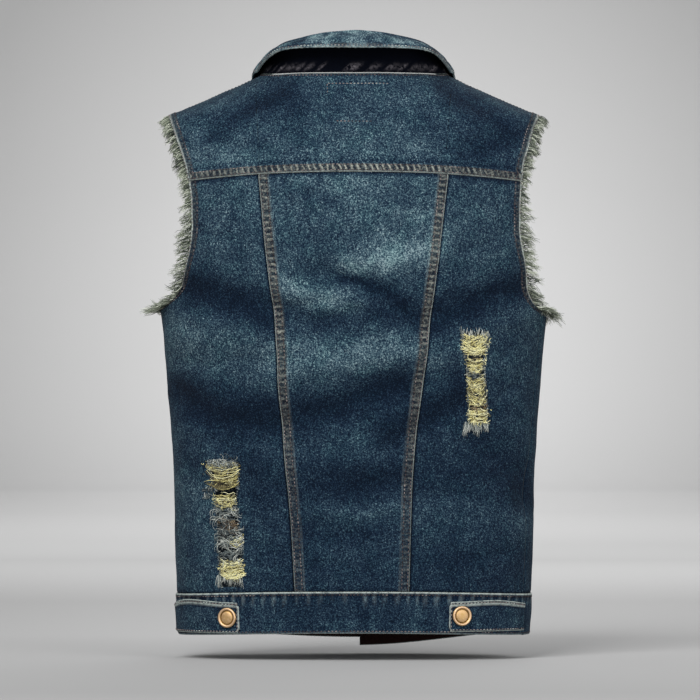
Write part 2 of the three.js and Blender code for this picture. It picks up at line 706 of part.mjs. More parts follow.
function buildBandFront(side) {
  const sign = side === "left" ? -1 : 1;
  const middle = frontMiddle(WAIST_MID_Z);
  const edgeX = middle - sign * (PLACKET_WIDTH / 2 - EDGE_TUCK);
  const [edge] = seat(edgeX, (WAIST_MID_Z + HEM_BACK_Z) / 2, true, sign);
  const seam = sideAngle(side, WAIST_MID_Z) + sign * SEAM_TURN;
  const angles = between(seam, edge, 20);
  const shift = (i, j) => {
    if (side === "left") return 0;
    const x = ringPoint(angles[j], WAIST_MID_Z).x;
    return -UNDER_BAND_STEP * (1 - THREE.MathUtils.smoothstep(x - middle, ...UNDER_BAND_REACH));
  };
  return buildBand(angles, (x) => hemFrontZ(side, x), shift);
}

function buildTab(side) {
  const tab = TABS[side];
  const seats = steps(3).map((v) =>
    tabAngles(side).map((angle) => [angle, mix(tab.topZ, tab.bottomZ, v) - yokeLine(angle)]),
  );
  return clothWall(seats, { shift: () => BAND_RAISE + SEAM_GAP + TAB_WALL, wall: TAB_WALL });
}

// A tack button: rolled rim, groove and a plain domed centre, its underside at height 0.
function buttonGeometry(sides, plain) {
  const r = BUTTON_RADIUS;
  const full = [
    [0, 0], [r * 0.86, 0], [r * 0.985, 0.9], [r, 2.2], [r * 0.93, 3.3], [r * 0.8, 3.5], [r * 0.7, 2.5],
    [r * 0.64, 2.5], [r * 0.56, 3.0], [0, 3.2],
  ];
  const bare = [[0, 0], [r * 0.86, 0], [r, 1.6], [r * 0.9, 3.3], [r * 0.68, 2.6], [0, 3.1]];
  const profile = (plain ? bare : full).map(([x, y]) => new THREE.Vector2(x, y));
  const lathe = new THREE.LatheGeometry(profile, sides).rotateX(RIGHT_ANGLE);
  lathe.deleteAttribute("normal");
  lathe.deleteAttribute("uv");
  const welded = mergeVertices(lathe, WELD);
  const kept = [];
  const index = welded.index.array;
  for (let i = 0; i < index.length; i += 3) {
    const [a, b, c] = [index[i], index[i + 1], index[i + 2]];
    if (a !== b && b !== c && a !== c) kept.push(a, b, c);
  }
  const at = welded.attributes.position;
  const points = Array.from({ length: at.count }, (_, i) => new Vector3().fromBufferAttribute(at, i));
  return facingOut(points, kept);
}

function addButton(name, place, lift, plain) {
  const { at, normal } = clothPoint(place, lift);
  const mesh = addPiece(name, buttonGeometry(plain ? 16 : 24, plain), BRASS);
  mesh.quaternion.setFromUnitVectors(new Vector3(0, 0, 1), normal);
  mesh.position.copy(at);
}

// The neck seam, from the left front's end round the back to the right front's end. Each station has its point,
// the form's normal, the way out of the neck edge and its share of the half collar, negative on the left.
function neckStations(pieces) {
  const neckOfFront = (side) => pieces[side].front.outer[0].slice(0, FRONT_NECK_COLUMNS);
  const yokeRow = pieces.left.yoke.outer.at(-1).slice(SHOULDER_COLUMNS, -SHOULDER_COLUMNS);
  const ends = [-1, 1].map((sign) => {
    return clothPoint(seat(sign * COLLAR_FRONT_GAP, neckFrontZ(0), true, sign)).at;
  });
  const points = [ends[0], ...neckOfFront("left"), ...yokeRow, ...neckOfFront("right").reverse(), ends[1]];
  const lastTurn = Math.acos(COLLAR_FRONT_GAP / NECK_HALF_WIDTH);
  return points.map((at, i) => {
    const along = points[Math.min(i + 1, points.length - 1)].clone().sub(points[Math.max(i - 1, 0)]);
    const normal = formNormal(at);
    const out = new Vector3().crossVectors(normal, along).normalize();
    if (out.z < 0) out.negate();
    const across = Math.min(1, Math.abs(at.x) / NECK_HALF_WIDTH);
    const inFront = i <= FRONT_NECK_COLUMNS || i >= points.length - 1 - FRONT_NECK_COLUMNS;
    const share = inFront
      ? COLLAR_SIDE + (1 - COLLAR_SIDE) * (Math.acos(across) / lastTurn)
      : COLLAR_SIDE * (Math.asin(across) / RIGHT_ANGLE);
    return { at, normal, out, share: Math.min(1, share) * (Math.sign(at.x) || 1), inFront };
  });
}

// Moves a point out until it clears the form by some distance.
function clearOfForm(p, clearance) {
  for (let i = 0; i < 3; i++) {
    const slope = formSlope(p);
    const distance = formLevel(p.x, p.y, p.z) / slope.length();
    if (distance < clearance) p.addScaledVector(slope.normalize(), clearance - distance);
  }
  return p;
}

// One section of the collar: up the stand, over the roll and down the fall, on the side that shows.
function collarSection({ at, normal, out, share, inFront }) {
  const value = (name) => columnAt(COLLAR, Math.abs(share), column(COLLAR_COLUMNS, name));
  const depth = inFront ? NECK_FRONT_DEPTH : NECK_BACK_DEPTH;
  const away = new Vector3(at.x / NECK_HALF_WIDTH ** 2, at.y / depth ** 2, 0).normalize();
  const foot = at.clone().addScaledVector(out, inFront ? COLLAR_GAP.front : COLLAR_GAP.back);
  const base = foot.clone().addScaledVector(normal, -COLLAR_WALL);
  const roll = at.clone().addScaledVector(away, -value("rollIn")).add(new Vector3(0, 0, value("rollUp")));
  const rolled = roll.clone().addScaledVector(away, COLLAR_ROLL).add(new Vector3(0, 0, -COLLAR_ROLL_DROP));
  const reach = new Vector3(
    Math.sign(share) * value("edgeAcross"), (inFront ? 1 : -1) * value("edgeOut"), value("edgeUp"),
  );
  const edge = clearOfForm(at.clone().add(reach), COLLAR_CLEARANCE);
  const stand = [0, 0.45, 0.85].map((t) => base.clone().lerp(roll, t));
  const fall = [0.33, 0.66].map((t) => {
    const p = rolled.clone().lerp(edge, t).addScaledVector(away, COLLAR_BULGE.out);
    p.z += COLLAR_BULGE.up;
    return clearOfForm(p, COLLAR_CLEARANCE);
  });
  return { foot, section: [...stand, roll, rolled, ...fall, edge] };
}

function gridNormals(grid) {
  return grid.map((row, i) =>
    row.map((_, j) => {
      const [a, b] = [grid[Math.max(i - 1, 0)][j], grid[Math.min(i + 1, grid.length - 1)][j]];
      const [c, d] = [row[Math.max(j - 1, 0)], row[Math.min(j + 1, row.length - 1)]];
      return new Vector3().crossVectors(b.clone().sub(a), d.clone().sub(c)).normalize();
    }),
  );
}

function buildCollar(pieces) {
  const stations = neckStations(pieces).map(collarSection);
  const shown = stations.map(({ section }) => section);
  const normals = gridNormals(shown);
  // The fall's outer face looks up at centre back, which tells which way the normals point.
  const centreBack = normals[Math.floor(shown.length / 2)];
  const inwards = centreBack.at(-2).z > 0 ? -COLLAR_WALL : COLLAR_WALL;
  const hidden = shown.map((row, i) =>
    row.map((p, j) => (j === 0 ? stations[i].foot : p.clone().addScaledVector(normals[i][j], inwards))),
  );
  return solidBetween(shown, hidden);
}

// A repeatable uneven value from 0 to 1.
const uneven = (n) => {
  const s = Math.sin(n * 127.1 + 11.7) * 43758.5453;
  return s - Math.floor(s);
};

// Stations along a closed line of cloth edge, two for each strand: where its root begins and where it ends.
function fringeStations(loop) {
  const count = loop.length;
  const lengths = loop.map((f, i) => f.at.distanceTo(loop[(i + 1) % count].at));
  return loop.flatMap((f, i) => {
    const next = loop[(i + 1) % count];
    const strands = Math.max(1, Math.round(lengths[i] / FRINGE_SPACING));
    const shares = Array.from({ length: strands }, (_, k) => [k, k + FRINGE_ROOT_SHARE]).flat();
    return shares.map((share) => ({
      at: f.at.clone().lerp(next.at, share / strands),
      normal: f.normal.clone().lerp(next.normal, share / strands).normalize(),
    }));
  });
}

// The armhole's raw edge: a narrow strip parted from the panels, with a frayed strand on every other face.
function buildFringe(loop, seed) {
  const stations = fringeStations(loop);
  const n = stations.length;
  const centre = loop.reduce((sum, f) => sum.add(f.at), new Vector3()).divideScalar(loop.length);
  stations.forEach((f, i) => {
    f.along = stations[(i + 2) % n].at.clone().sub(stations[(i + n - 2) % n].at).normalize();
    f.into = new Vector3().crossVectors(f.along, f.normal).normalize();
    if (f.into.dot(centre.clone().sub(f.at)) < 0) f.into.negate();
  });
  const near = FRINGE_GAP;
  const far = near + FRINGE_STRIP;
  const [front, back] = STRIP_FACES;
  const section = [[near, front], [far, front], [far, back], [near, back]];
  const points = stations.flatMap((f) =>
    section.map(([out, up]) => f.at.clone().addScaledVector(f.into, out).addScaledVector(f.normal, up)),
  );
  const faces = [];
  const quad = (a, b, c, d) => faces.push(a, b, c, a, c, d);
  stations.forEach((f, i) => {
    const here = i * 4;
    const next = ((i + 1) % n) * 4;
    for (const k of [0, 2, 3]) quad(here + k, here + ((k + 1) % 4), next + ((k + 1) % 4), next + k);
    if (i % 2) {
      quad(here + 1, here + 2, next + 2, next + 1);
      return;
    }
    const root = [here + 1, here + 2, next + 2, next + 1];
    const middle = root.reduce((sum, k) => sum.add(points[k]), new Vector3()).divideScalar(4);
    const reach = mix(FRINGE_REACH[0], FRINGE_REACH[1], uneven(i + seed));
    const way = f.into.clone();
    way.addScaledVector(f.along, mix(FRINGE_LEAN[0], FRINGE_LEAN[1], uneven(i + seed + 40)));
    way.addScaledVector(f.normal, mix(FRINGE_RISE[0], FRINGE_RISE[1], uneven(i + seed + 80)));
    const tip = middle.clone().addScaledVector(way.normalize(), reach);
    tip.z -= reach * mix(FRINGE_DROOP[0], FRINGE_DROOP[1], uneven(i + seed + 120));
    const first = points.length;
    for (const k of root) {
      points.push(tip.clone().addScaledVector(points[k].clone().sub(middle), FRINGE_TIP_SHARE));
    }
    root.forEach((k, m) => quad(k, root[(m + 1) % 4], first + ((m + 1) % 4), first + m));
    quad(first, first + 1, first + 2, first + 3);
  });
  return facingOut(points, faces);
}

// A block that runs through the back's wall over the rip's outline.
const CUTTER = { startY: -20, length: 120 };

function ripCutter(side) {
  const value = (row, name) => row[column(RIP_COLUMNS, name)];
  const down = RIPS[side].map((row) => new THREE.Vector2(value(row, "leftX"), value(row, "z")));
  const up = RIPS[side].map((row) => new THREE.Vector2(value(row, "rightX"), value(row, "z"))).reverse();
  const shape = new THREE.Shape([...down, ...up]);
  const block = new THREE.ExtrudeGeometry(shape, { depth: CUTTER.length, bevelEnabled: false, steps: 1 });
  block.rotateX(RIGHT_ANGLE).translate(0, CUTTER.startY, 0);
  return asManifold(block);
}

// The back's cloth at an exact x and z, moved straight back by some depth.
function backCloth(x, z, behind) {
  const first = clothPoint(seat(x, z)).at;
  const { at } = clothPoint(seat(2 * x - first.x, 2 * z - first.z));
  return new Vector3(x, at.y - behind, z);
}

// The edge of a rip at a level, along the straight lines between its rows.
function ripEdge(rows, z, k) {
  let i = 0;
  while (i < rows.length - 2 && z < rows[i + 1][0]) i++;
  return mix(rows[i][k], rows[i + 1][k], (z - rows[i][0]) / (rows[i + 1][0] - rows[i][0]));
}

// The weft left across a rip: a frayed strip down each side of the hole, and loose yarns between the two.
function buildRipYarns(side) {
  const rows = RIPS[side];
  const pitch = RIP_YARN_PITCH[side];
  const topZ = rows[0][0] - RIP_GAP - RIP_YARN_START;
  const count = Math.floor((topZ - rows.at(-1)[0] - RIP_GAP - RIP_YARN_START) / pitch);
  const turns = Array.from({ length: count }, (_, i) => [i, i + RIP_YARN_SHARE]).flat();
  const levels = [...turns, count].map((turn) => topZ - turn * pitch);
  const points = [];
  const faces = [];
  const quad = (a, b, c, d) => faces.push(a, b, c, a, c, d);
  const [front, back] = RIP_FACES;
  // Each level has four points on the left strip, then four on the right one.
  levels.forEach((z) => {
    const left = ripEdge(rows, z, column(RIP_COLUMNS, "leftX")) + RIP_GAP;
    const right = ripEdge(rows, z, column(RIP_COLUMNS, "rightX")) - RIP_GAP;
    for (const [outer, inner] of [[left, left + RIP_STRIP], [right, right - RIP_STRIP]]) {
      points.push(backCloth(outer, z, front), backCloth(inner, z, front));
      points.push(backCloth(inner, z, back), backCloth(outer, z, back));
    }
  });
  const id = (i, strip, k) => i * 8 + strip * 4 + k;
  const join = (first, second) => {
    for (let k = 0; k < 4; k++) quad(first[k], second[k], second[(k + 1) % 4], first[(k + 1) % 4]);
  };
  for (let i = 0; i + 1 < levels.length; i++) {
    for (const k of [0, 2, 3]) {
      quad(id(i, 0, k), id(i + 1, 0, k), id(i + 1, 0, (k + 1) % 4), id(i, 0, (k + 1) % 4));
      quad(id(i, 1, k), id(i, 1, (k + 1) % 4), id(i + 1, 1, (k + 1) % 4), id(i + 1, 1, k));
    }
    if (i % 2) {
      quad(id(i, 0, 1), id(i + 1, 0, 1), id(i + 1, 0, 2), id(i, 0, 2));
      quad(id(i, 1, 1), id(i, 1, 2), id(i + 1, 1, 2), id(i + 1, 1, 1));
      continue;
    }
    const start = [id(i, 0, 1), id(i, 0, 2), id(i + 1, 0, 2), id(i + 1, 0, 1)];
    const end = [id(i, 1, 1), id(i, 1, 2), id(i + 1, 1, 2), id(i + 1, 1, 1)];
    const bulge = mix(RIP_YARN_BULGE[0], RIP_YARN_BULGE[1], uneven(i + 500));
    const sag = mix(RIP_YARN_SAG[0], RIP_YARN_SAG[1], uneven(i + 300));
    let last = start;
    for (const t of [0.33, 0.66]) {
      const first = points.length;
      start.forEach((k, m) => {
        const p = points[k].clone().lerp(points[end[m]], t);
        points.push(p.add(new Vector3(0, -bulge * Math.sin(Math.PI * t), -sag * Math.sin(Math.PI * t))));
      });
      const section = start.map((_, m) => first + m);
      join(last, section);
      last = section;
    }
    join(last, end);
  }
  const bottom = levels.length - 1;
  for (const strip of [0, 1]) {
    const turn = strip ? 1 : -1;
    const cap = (i, order) => quad(...order.map((k) => id(i, strip, k)));
    cap(0, turn > 0 ? [3, 2, 1, 0] : [0, 1, 2, 3]);
    cap(bottom, turn > 0 ? [0, 1, 2, 3] : [3, 2, 1, 0]);
  }
  return facingOut(points, faces);
}

// Points of a cloth edge that are nearer than this count as one.
const LOOP_STEP = 3;

// The closed line of cloth edge round one armhole, from the panels' own edge points.
function armholeLoop(side, pieces) {
  const armRows = ARM_ROWS + 1;
  const yoke = pieces.yoke.outer.map((row) => row.at(side === "left" ? 0 : -1));
  const back = pieces.sidePanel.outer.slice(0, armRows).map((row) => row.at(-1));
  const front = pieces.front.outer.slice(0, armRows).map((row) => row.at(-1));
  const loop = [];
  for (const at of [...yoke.reverse(), ...back, ...front.reverse()]) {
    const apart = loop.length ? loop.at(-1).at.distanceTo(at) : Infinity;
    if (apart > LOOP_STEP) loop.push({ at, normal: formNormal(at) });
  }
  if (loop[0].at.distanceTo(loop.at(-1).at) <= LOOP_STEP) loop.pop();
  return loop;
}

const yoke = buildYoke();
addPiece("back_yoke", yoke.geometry, DENIM);
addPiece("back_centre_panel", buildCentrePanel().geometry, FADED);

const edges = {};
for (const side of ["left", "right"]) {
  const sidePanel = buildSidePanel(side);
  const front = buildFrontPanel(side);
  const ripped = asManifold(sidePanel.geometry).subtract(ripCutter(side));
  addPiece(`back_side_panel_${side}`, asGeometry(ripped), DENIM);
  addPiece(`rip_weft_yarns_${side}`, buildRipYarns(side), WEFT);
  addPiece(`front_panel_${side}`, front.geometry, DENIM);
  addPiece(`front_placket_${side}`, buildPlacket(side).geometry, DENIM);
  addPiece(`waistband_front_${side}`, buildBandFront(side).geometry, DENIM);
  addPiece(`waist_tab_${side}`, buildTab(side).geometry, DENIM);
  edges[side] = { sidePanel, front, yoke };
  const fringe = buildFringe(armholeLoop(side, edges[side]), FRINGE_SEED[side]);
  addPiece(`armhole_fringe_${side}`, fringe, FRAY);
}
addPiece("waistband_back", buildBandBack().geometry, DENIM);
addPiece("collar", buildCollar(edges), DENIM);

for (const [side, tab] of Object.entries(TABS)) {
  const lift = BAND_RAISE + SEAM_GAP + TAB_WALL + SEAM_GAP;
  addButton(`waist_tab_button_${side}`, seat(tab.buttonX, tab.buttonZ), lift, false);
}
FRONT_BUTTON_Z.forEach((z, i) => {
  const lift = (z < WAIST_MID_Z ? BAND_RAISE : FELL_HEIGHT) + FRONT_BUTTON_GAP;
  addButton(`front_button_${i + 1}`, seat(frontMiddle(z), z, true, 1), lift, true);
});

export default vest;
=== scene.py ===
"""A sleeveless denim vest seen from behind, worn hollow, on a pale floor.

The tables hold millimetres and the scene is in metres. +Z is up, -Y is the vest's back, and +X is the
wearer's right. Every cloth piece is a thin shell laid on one torso form, at an angle from centre back and a
height from the yoke seam. Folds, felled seams and puckers move it out along the form's normal.
"""

import functools
import itertools
import math

import bmesh
import bpy
import numpy as np
from bpy.props import FloatProperty, FloatVectorProperty, IntProperty, PointerProperty
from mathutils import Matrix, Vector


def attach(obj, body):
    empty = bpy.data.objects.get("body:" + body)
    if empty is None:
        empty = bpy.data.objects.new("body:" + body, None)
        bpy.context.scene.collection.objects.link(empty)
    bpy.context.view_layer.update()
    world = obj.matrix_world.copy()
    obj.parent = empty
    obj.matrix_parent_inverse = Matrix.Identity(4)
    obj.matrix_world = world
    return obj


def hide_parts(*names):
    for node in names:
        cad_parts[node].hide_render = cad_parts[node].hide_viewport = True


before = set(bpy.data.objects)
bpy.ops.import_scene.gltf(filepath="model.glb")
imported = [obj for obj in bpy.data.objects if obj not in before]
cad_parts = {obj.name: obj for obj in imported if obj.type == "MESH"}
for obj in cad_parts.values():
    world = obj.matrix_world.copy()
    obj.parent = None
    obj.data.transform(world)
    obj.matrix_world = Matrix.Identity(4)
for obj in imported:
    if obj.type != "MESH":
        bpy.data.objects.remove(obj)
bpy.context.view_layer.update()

bl_info = {
    "name": "Denim vest",
    "version": (1, 0, 0),
    "blender": (4, 5, 0),
    "location": "View3D > Sidebar > Vest",
    "description": "Builds a denim vest with frayed armholes, rips and topstitching on a studio stage",
    "category": "Add Mesh",
}

MM = 0.001
RIGHT_ANGLE = math.pi / 2
SIDES = ("left", "right")
SIGN = {"left": -1, "right": 1}
ONE_END = np.array([0.0])
BOTH_ENDS = np.array([0.0, 1.0])
UP = np.array([0, 0, 1.0])

# Sizes shared with the solids
SEAM_GAP = 0.3
SEAM_TURN = 0.0011
FELL_HEIGHT = 0.7
NECK_HALF_WIDTH = 103
NECK_BACK_Z = -1
NECK_FRONT_DROP = 72
TIP_X = 206.5
YOKE_MID_Z = -111
YOKE_END_DROP = 16
SHOULDER_REACH = 130
SHOULDER_SEAM_FORWARD = 4
UNDERARM_Z = -262.5
WAIST_MID_Z = -570
WAIST_END_DROP = 4.5
HEM_BACK_Z = -616
HEM_END_DROP = 4
HEM_FRONT_Z = {"left": -628, "right": -637}
BAND_RAISE = 1.0
PLACKET_WIDTH = 36
PLACKET_STEP = 2.4
UNDER_BAND_STEP = 3.8
FRONT_EDGE_SHIFT = 24
TAB_WALL = 1.8
ARM_SHARE = 0.32
BACK_INNER_SHARE = 0.4
FRONT_INNER_SHARE = 0.52
NECK_COLUMNS = 7
SHOULDER_COLUMNS = 4
YOKE_COLUMNS = NECK_COLUMNS + SHOULDER_COLUMNS
PER_RADIAN = 150
FAR = 1e3

# The torso form: z, half width, back depth, front depth and squareness.
FORM = np.array([
    [60, 60, 50, 28, 2.2],
    [0, 103, 73, 50, 2.2],
    [-10, 121, 79, 57, 2.2],
    [-20, 143, 84, 64, 2.2],
    [-30, 166, 89, 70, 2.2],
    [-40, 190, 93, 75, 2.2],
    [-48, 207.5, 96, 80, 2.25],
    [-60, 219, 100, 86, 2.25],
    [-85, 226, 107, 96, 2.3],
    [-120, 228, 114, 105, 2.3],
    [-180, 224, 121, 116, 2.3],
    [-230, 218, 121, 120, 2.3],
    [-262, 214.5, 119, 121, 2.3],
    [-295, 210.5, 116, 119, 2.3],
    [-330, 207.5, 112, 116, 2.3],
    [-392, 203, 105, 111, 2.35],
    [-444, 199.5, 102, 108, 2.35],
    [-515, 198.5, 103, 106, 2.4],
    [-568, 196, 106, 107, 2.4],
    [-645, 192.5, 108, 108, 2.4],
])

# Seams and edges as seen from behind, each row an x and a z.
PRINCESS_SEAM = {
    "left": [[-104.5, -116], [-97, -196], [-85, -295], [-82, -361], [-71.5, -471], [-65, -570]],
    "right": [[103, -116], [91, -218], [77.5, -328], [65.5, -432], [60.5, -570]],
}
ARMHOLE_BACK = {
    "left": [[-203.5, -53], [-198, -68], [-187, -100], [-181.5, -121], [-179, -143], [-180, -185],
             [-182.6, -201], [-188, -222], [-196, -241], [-206, -254]],
    "right": [[203, -53], [196, -75], [188, -100], [185, -121], [183.5, -143], [184, -185],
              [189, -209], [193.5, -232], [196, -246], [200.5, -256]],
}
YOKE_ROW = 3
ARMHOLE_FRONT = [[200, -75], [187, -110], [177, -150], [174, -185], [180, -220], [193, -245], [205, -257]]
SIDE_SEAM = {"left": (-96, -97), "right": (75.5, 71)}

# Folds: height, width, then a path of x and z. A negative height is a trough.
BACK_FOLDS = [
    (-3, 12, [(-81, -12), (-120, -34), (-164, -62)]),
    (-3, 12, [(100, -16), (161, -54)]),
    (-3, 13, [(128, -86), (195, -62)]),
    (-5, 17, [(-191, -240), (-114, -251), (-43, -278), (-4, -267)]),
    (-5, 17, [(188, -240), (128, -256), (78, -273), (45, -262), (7, -234), (-37, -222)]),
    (-6, 17, [(-197, -355), (-147, -388), (-81, -388), (-15, -372), (51, -344)]),
    (-4, 15, [(122, -366), (84, -383), (40, -412)]),
    (-5, 15, [(133, -405), (183, -443), (194, -471)]),
    (-2.5, 14, [(-4, -460), (51, -449)]),
    (-2.5, 14, [(-60, -502), (-4, -509)]),
    (2.5, 15, [(-81, -245), (7, -249)]),
    (2.5, 15, [(-4, -207), (94, -207)]),
    (3.5, 17, [(-202, -292), (-140, -290), (-81, -300)]),
    (4, 19, [(-92, -335), (0, -318), (106, -310)]),
    (3, 18, [(-150, -430), (-60, -436), (20, -425)]),
]
FRONT_FOLDS = [
    (-5, 16, [(-178, -226), (-130, -252), (-80, -290)]),
    (-5, 16, [(176, -226), (136, -262), (92, -300)]),
    (-4, 15, [(-120, -60), (-140, -110), (-132, -160)]),
    (-4, 15, [(118, -62), (136, -104), (126, -150)]),
    (4, 18, [(-160, -300), (-105, -336), (-60, -380)]),
    (4, 18, [(150, -310), (106, -352), (70, -400)]),
    (-5, 16, [(-186, -380), (-120, -402), (-62, -432)]),
    (-5, 16, [(184, -392), (140, -410), (88, -446)]),
    (-3, 14, [(-110, -470), (-90, -550)]),
    (-3, 14, [(128, -480), (112, -552)]),
]
# Smaller creases between the folds, in the same order of columns.
BACK_CREASES = [
    (-1.2, 5, [(-76, -123), (-52, -133), (-28, -136)]),
    (1.0, 5, [(-80, -128), (-58, -140), (-36, -146)]),
    (-1.0, 5, [(-40, -118), (-30, -128)]),
    (-1.1, 6, [(10, -118), (34, -132), (62, -138)]),
    (0.9, 6, [(-60, -172), (-20, -164), (30, -170)]),
    (-1.6, 7, [(-18, -226), (8, -231), (44, -240)]),
    (-1.2, 6, [(-74, -262), (-40, -252), (-16, -254)]),
    (1.2, 7, [(-30, -262), (0, -254), (22, -256)]),
    (-1.0, 6, [(-178, -170), (-150, -184), (-126, -186)]),
    (-1.0, 6, [(182, -172), (150, -190), (120, -196)]),
    (1.1, 7, [(-190, -268), (-150, -276), (-110, -272)]),
    (1.1, 7, [(196, -268), (160, -282), (118, -300)]),
    (-1.0, 6, [(-190, -318), (-160, -324), (-128, -316)]),
    (-1.2, 7, [(-176, -404), (-140, -412), (-100, -404)]),
    (-1.1, 6, [(186, -330), (166, -352), (150, -380)]),
    (1.0, 7, [(94, -350), (130, -340), (176, -318)]),
    (-1.0, 6, [(72, -470), (110, -462), (160, -476)]),
    (1.0, 7, [(-40, -480), (10, -486), (48, -478)]),
    (-1.0, 7, [(-108, -520), (-80, -528)]),
    (-1.1, 6, [(-52, -548), (-20, -540), (16, -546)]),
    (-1.0, 6, [(84, -520), (130, -534), (182, -524)]),
    (-1.0, 5, [(-150, -76), (-120, -88), (-92, -86)]),
    (-1.0, 5, [(80, -92), (112, -84), (140, -70)]),
    (0.9, 6, [(-60, -60), (-10, -66), (40, -60)]),
]
FRONT_CREASES = [
    (-1.1, 6, [(-174, -190), (-140, -206), (-100, -204)]),
    (-1.1, 6, [(172, -190), (138, -210), (96, -206)]),
    (1.0, 7, [(-180, -280), (-140, -286), (-96, -310)]),
    (1.0, 7, [(178, -286), (136, -292), (92, -320)]),
    (-1.2, 6, [(-120, -90), (-84, -120), (-60, -132)]),
    (-1.2, 6, [(116, -92), (82, -124), (58, -138)]),
    (-1.0, 6, [(-150, -440), (-110, -446), (-70, -438)]),
    (-1.0, 6, [(152, -452), (112, -456), (74, -448)]),
    (-1.0, 6, [(-60, -500), (-40, -540)]),
    (-1.0, 6, [(80, -500), (66, -540)]),
    (1.0, 7, [(-160, -520), (-120, -530), (-84, -524)]),
    (1.0, 7, [(164, -524), (124, -536), (86, -528)]),
]

# Washed-out patches and patches of painted light and shade on the folds: x, z, reach across, reach down and
# strength. A negative strength is a darker patch, such as the painted shadow in the gap between the
# waistband's top edge and the left tab.
BACK_WASH_AND_SHADE_PATCHES = np.array([
    [10, -88, 80, 36, 0.06],
    [-140, -95, 50, 26, 0.06],
    [165, -100, 40, 26, -0.04],
    [120, -64, 60, 26, -0.08],
    [-80, -42, 40, 20, -0.08],
    [0, -140, 95, 34, 0.13],
    [48, -205, 46, 22, 0.06],
    [-36, -246, 46, 20, 0.09],
    [-145, -165, 46, 60, 0.03],
    [145, -165, 44, 54, 0.02],
    [130, -325, 50, 30, -0.10],
    [-150, -318, 56, 34, -0.01],
    [60, -262, 40, 22, -0.02],
    [-178, -579, 30, 6, -0.25],
    [20, -398, 90, 34, -0.05],
    [-150, -378, 60, 30, -0.06],
    [-10, -446, 90, 34, -0.29],
    [-10, -484, 70, 20, 0.04],
    [150, -430, 70, 110, -0.10],
    [196, -300, 24, 60, -0.05],
    [140, -545, 80, 40, -0.13],
    [-130, -430, 60, 40, -0.02],
    [0, -545, 110, 40, -0.17],
    [-96, -490, 40, 80, -0.09],
    [-184, -480, 26, 90, 0.02],
])
# Shading that follows the folds: strength, width, then a path of x and z.
BACK_SHADES = [
    (0.18, 12, [(-6, -219), (40, -209), (84, -192)]),
    (0.10, 26, [(-10, -205), (40, -195), (86, -178)]),
    (0.18, 15, [(-75, -237), (-37, -251), (-2, -264)]),
    (-0.28, 7, [(-12, -229), (12, -232), (40, -244), (58, -256)]),
    (-0.16, 12, [(-34, -271), (-4, -279), (30, -270)]),
    (-0.08, 16, [(20, -262), (60, -262), (84, -250)]),
    (-0.24, 20, [(-189, -229), (-142, -250), (-91, -274)]),
    (0.08, 18, [(-190, -292), (-135, -298), (-88, -318)]),
    (0.07, 18, [(-192, -316), (-125, -334)]),
    (-0.18, 19, [(-197, -346), (-142, -362), (-70, -371), (-4, -364), (62, -336)]),
    (0.12, 24, [(-66, -302), (-10, -308), (46, -298)]),
    (-0.24, 20, [(196, -232), (139, -252), (88, -280)]),
    (0.12, 13, [(166, -272), (208, -250)]),
    (-0.20, 17, [(118, -352), (73, -374), (34, -396)]),
    (0.08, 20, [(84, -306), (130, -300)]),
    (0.08, 22, [(150, -318), (190, -330)]),
    (-0.18, 12, [(-84, -22), (-122, -48), (-158, -74)]),
    (-0.16, 11, [(98, -16), (138, -40), (168, -60)]),
    (-0.14, 10, [(128, -92), (160, -80), (190, -66)]),
    (-0.12, 12, [(-70, -14), (-66, -40), (-58, -62)]),
    (0.10, 12, [(-172, -70), (-150, -92), (-120, -104)]),
    (0.10, 9, [(-60, -121), (-30, -126), (10, -122)]),
    (-0.12, 8, [(-70, -128), (-46, -140), (-22, -142)]),
    (0.12, 8, [(16, -140), (44, -154), (74, -158)]),
    (-0.12, 7, [(8, -134), (34, -144), (64, -146)]),
    (0.07, 12, [(4, -404), (36, -412), (56, -404)]),
    (0.08, 10, [(-50, -480), (0, -486), (50, -476)]),
    (0.07, 9, [(-30, -538), (20, -544), (64, -536)]),
    (-0.10, 12, [(-60, -506), (-10, -514), (30, -508)]),
    (-0.12, 16, [(-190, -420), (-140, -436), (-100, -430)]),
    (-0.10, 18, [(-180, -380), (-140, -388), (-92, -384)]),
    (0.08, 14, [(-190, -452), (-160, -474), (-160, -520)]),
    (-0.10, 16, [(120, -440), (160, -452), (196, -470)]),
    (0.07, 12, [(84, -470), (130, -480), (190, -500)]),
]
FRONT_SHADES = [
    (0.14, 18, [(-160, -300), (-105, -336), (-60, -380)]),
    (0.14, 18, [(150, -310), (106, -352), (70, -400)]),
    (-0.2, 16, [(-178, -226), (-130, -252), (-80, -290)]),
    (-0.2, 16, [(176, -226), (136, -262), (92, -300)]),
    (-0.18, 16, [(-186, -380), (-120, -402), (-62, -432)]),
    (-0.18, 16, [(184, -392), (140, -410), (88, -446)]),
    (-0.14, 14, [(-120, -60), (-140, -110), (-132, -160)]),
    (-0.14, 14, [(118, -62), (136, -104), (126, -150)]),
]
# The fronts' patches, in the same columns: painted light on the fold crests, painted shade in the fold
# troughs and a darker area low down.
FRONT_WASH_AND_SHADE_PATCHES = np.array([
    [-120, -110, 50, 60, 0.14],
    [120, -110, 50, 60, 0.14],
    [-110, -330, 50, 26, 0.16],
    [110, -340, 50, 26, 0.16],
    [-120, -250, 60, 24, -0.16],
    [120, -250, 60, 24, -0.16],
    [-120, -410, 60, 22, -0.14],
    [120, -420, 60, 22, -0.14],
    [0, -520, 180, 60, -0.06],
])

# The long rips: z, left edge and right edge.
RIPS = {
    "left": np.array([[-429, -160, -127], [-458, -153, -127], [-472, -152, -130], [-500, -150, -126],
                      [-530, -149, -123], [-565, -146, -123]], float),
    "right": np.array([[-286, 118, 147], [-304, 118, 146], [-317, 123, 142], [-340, 124, 144],
                       [-364, 125, 146], [-386, 126, 147]], float),
}
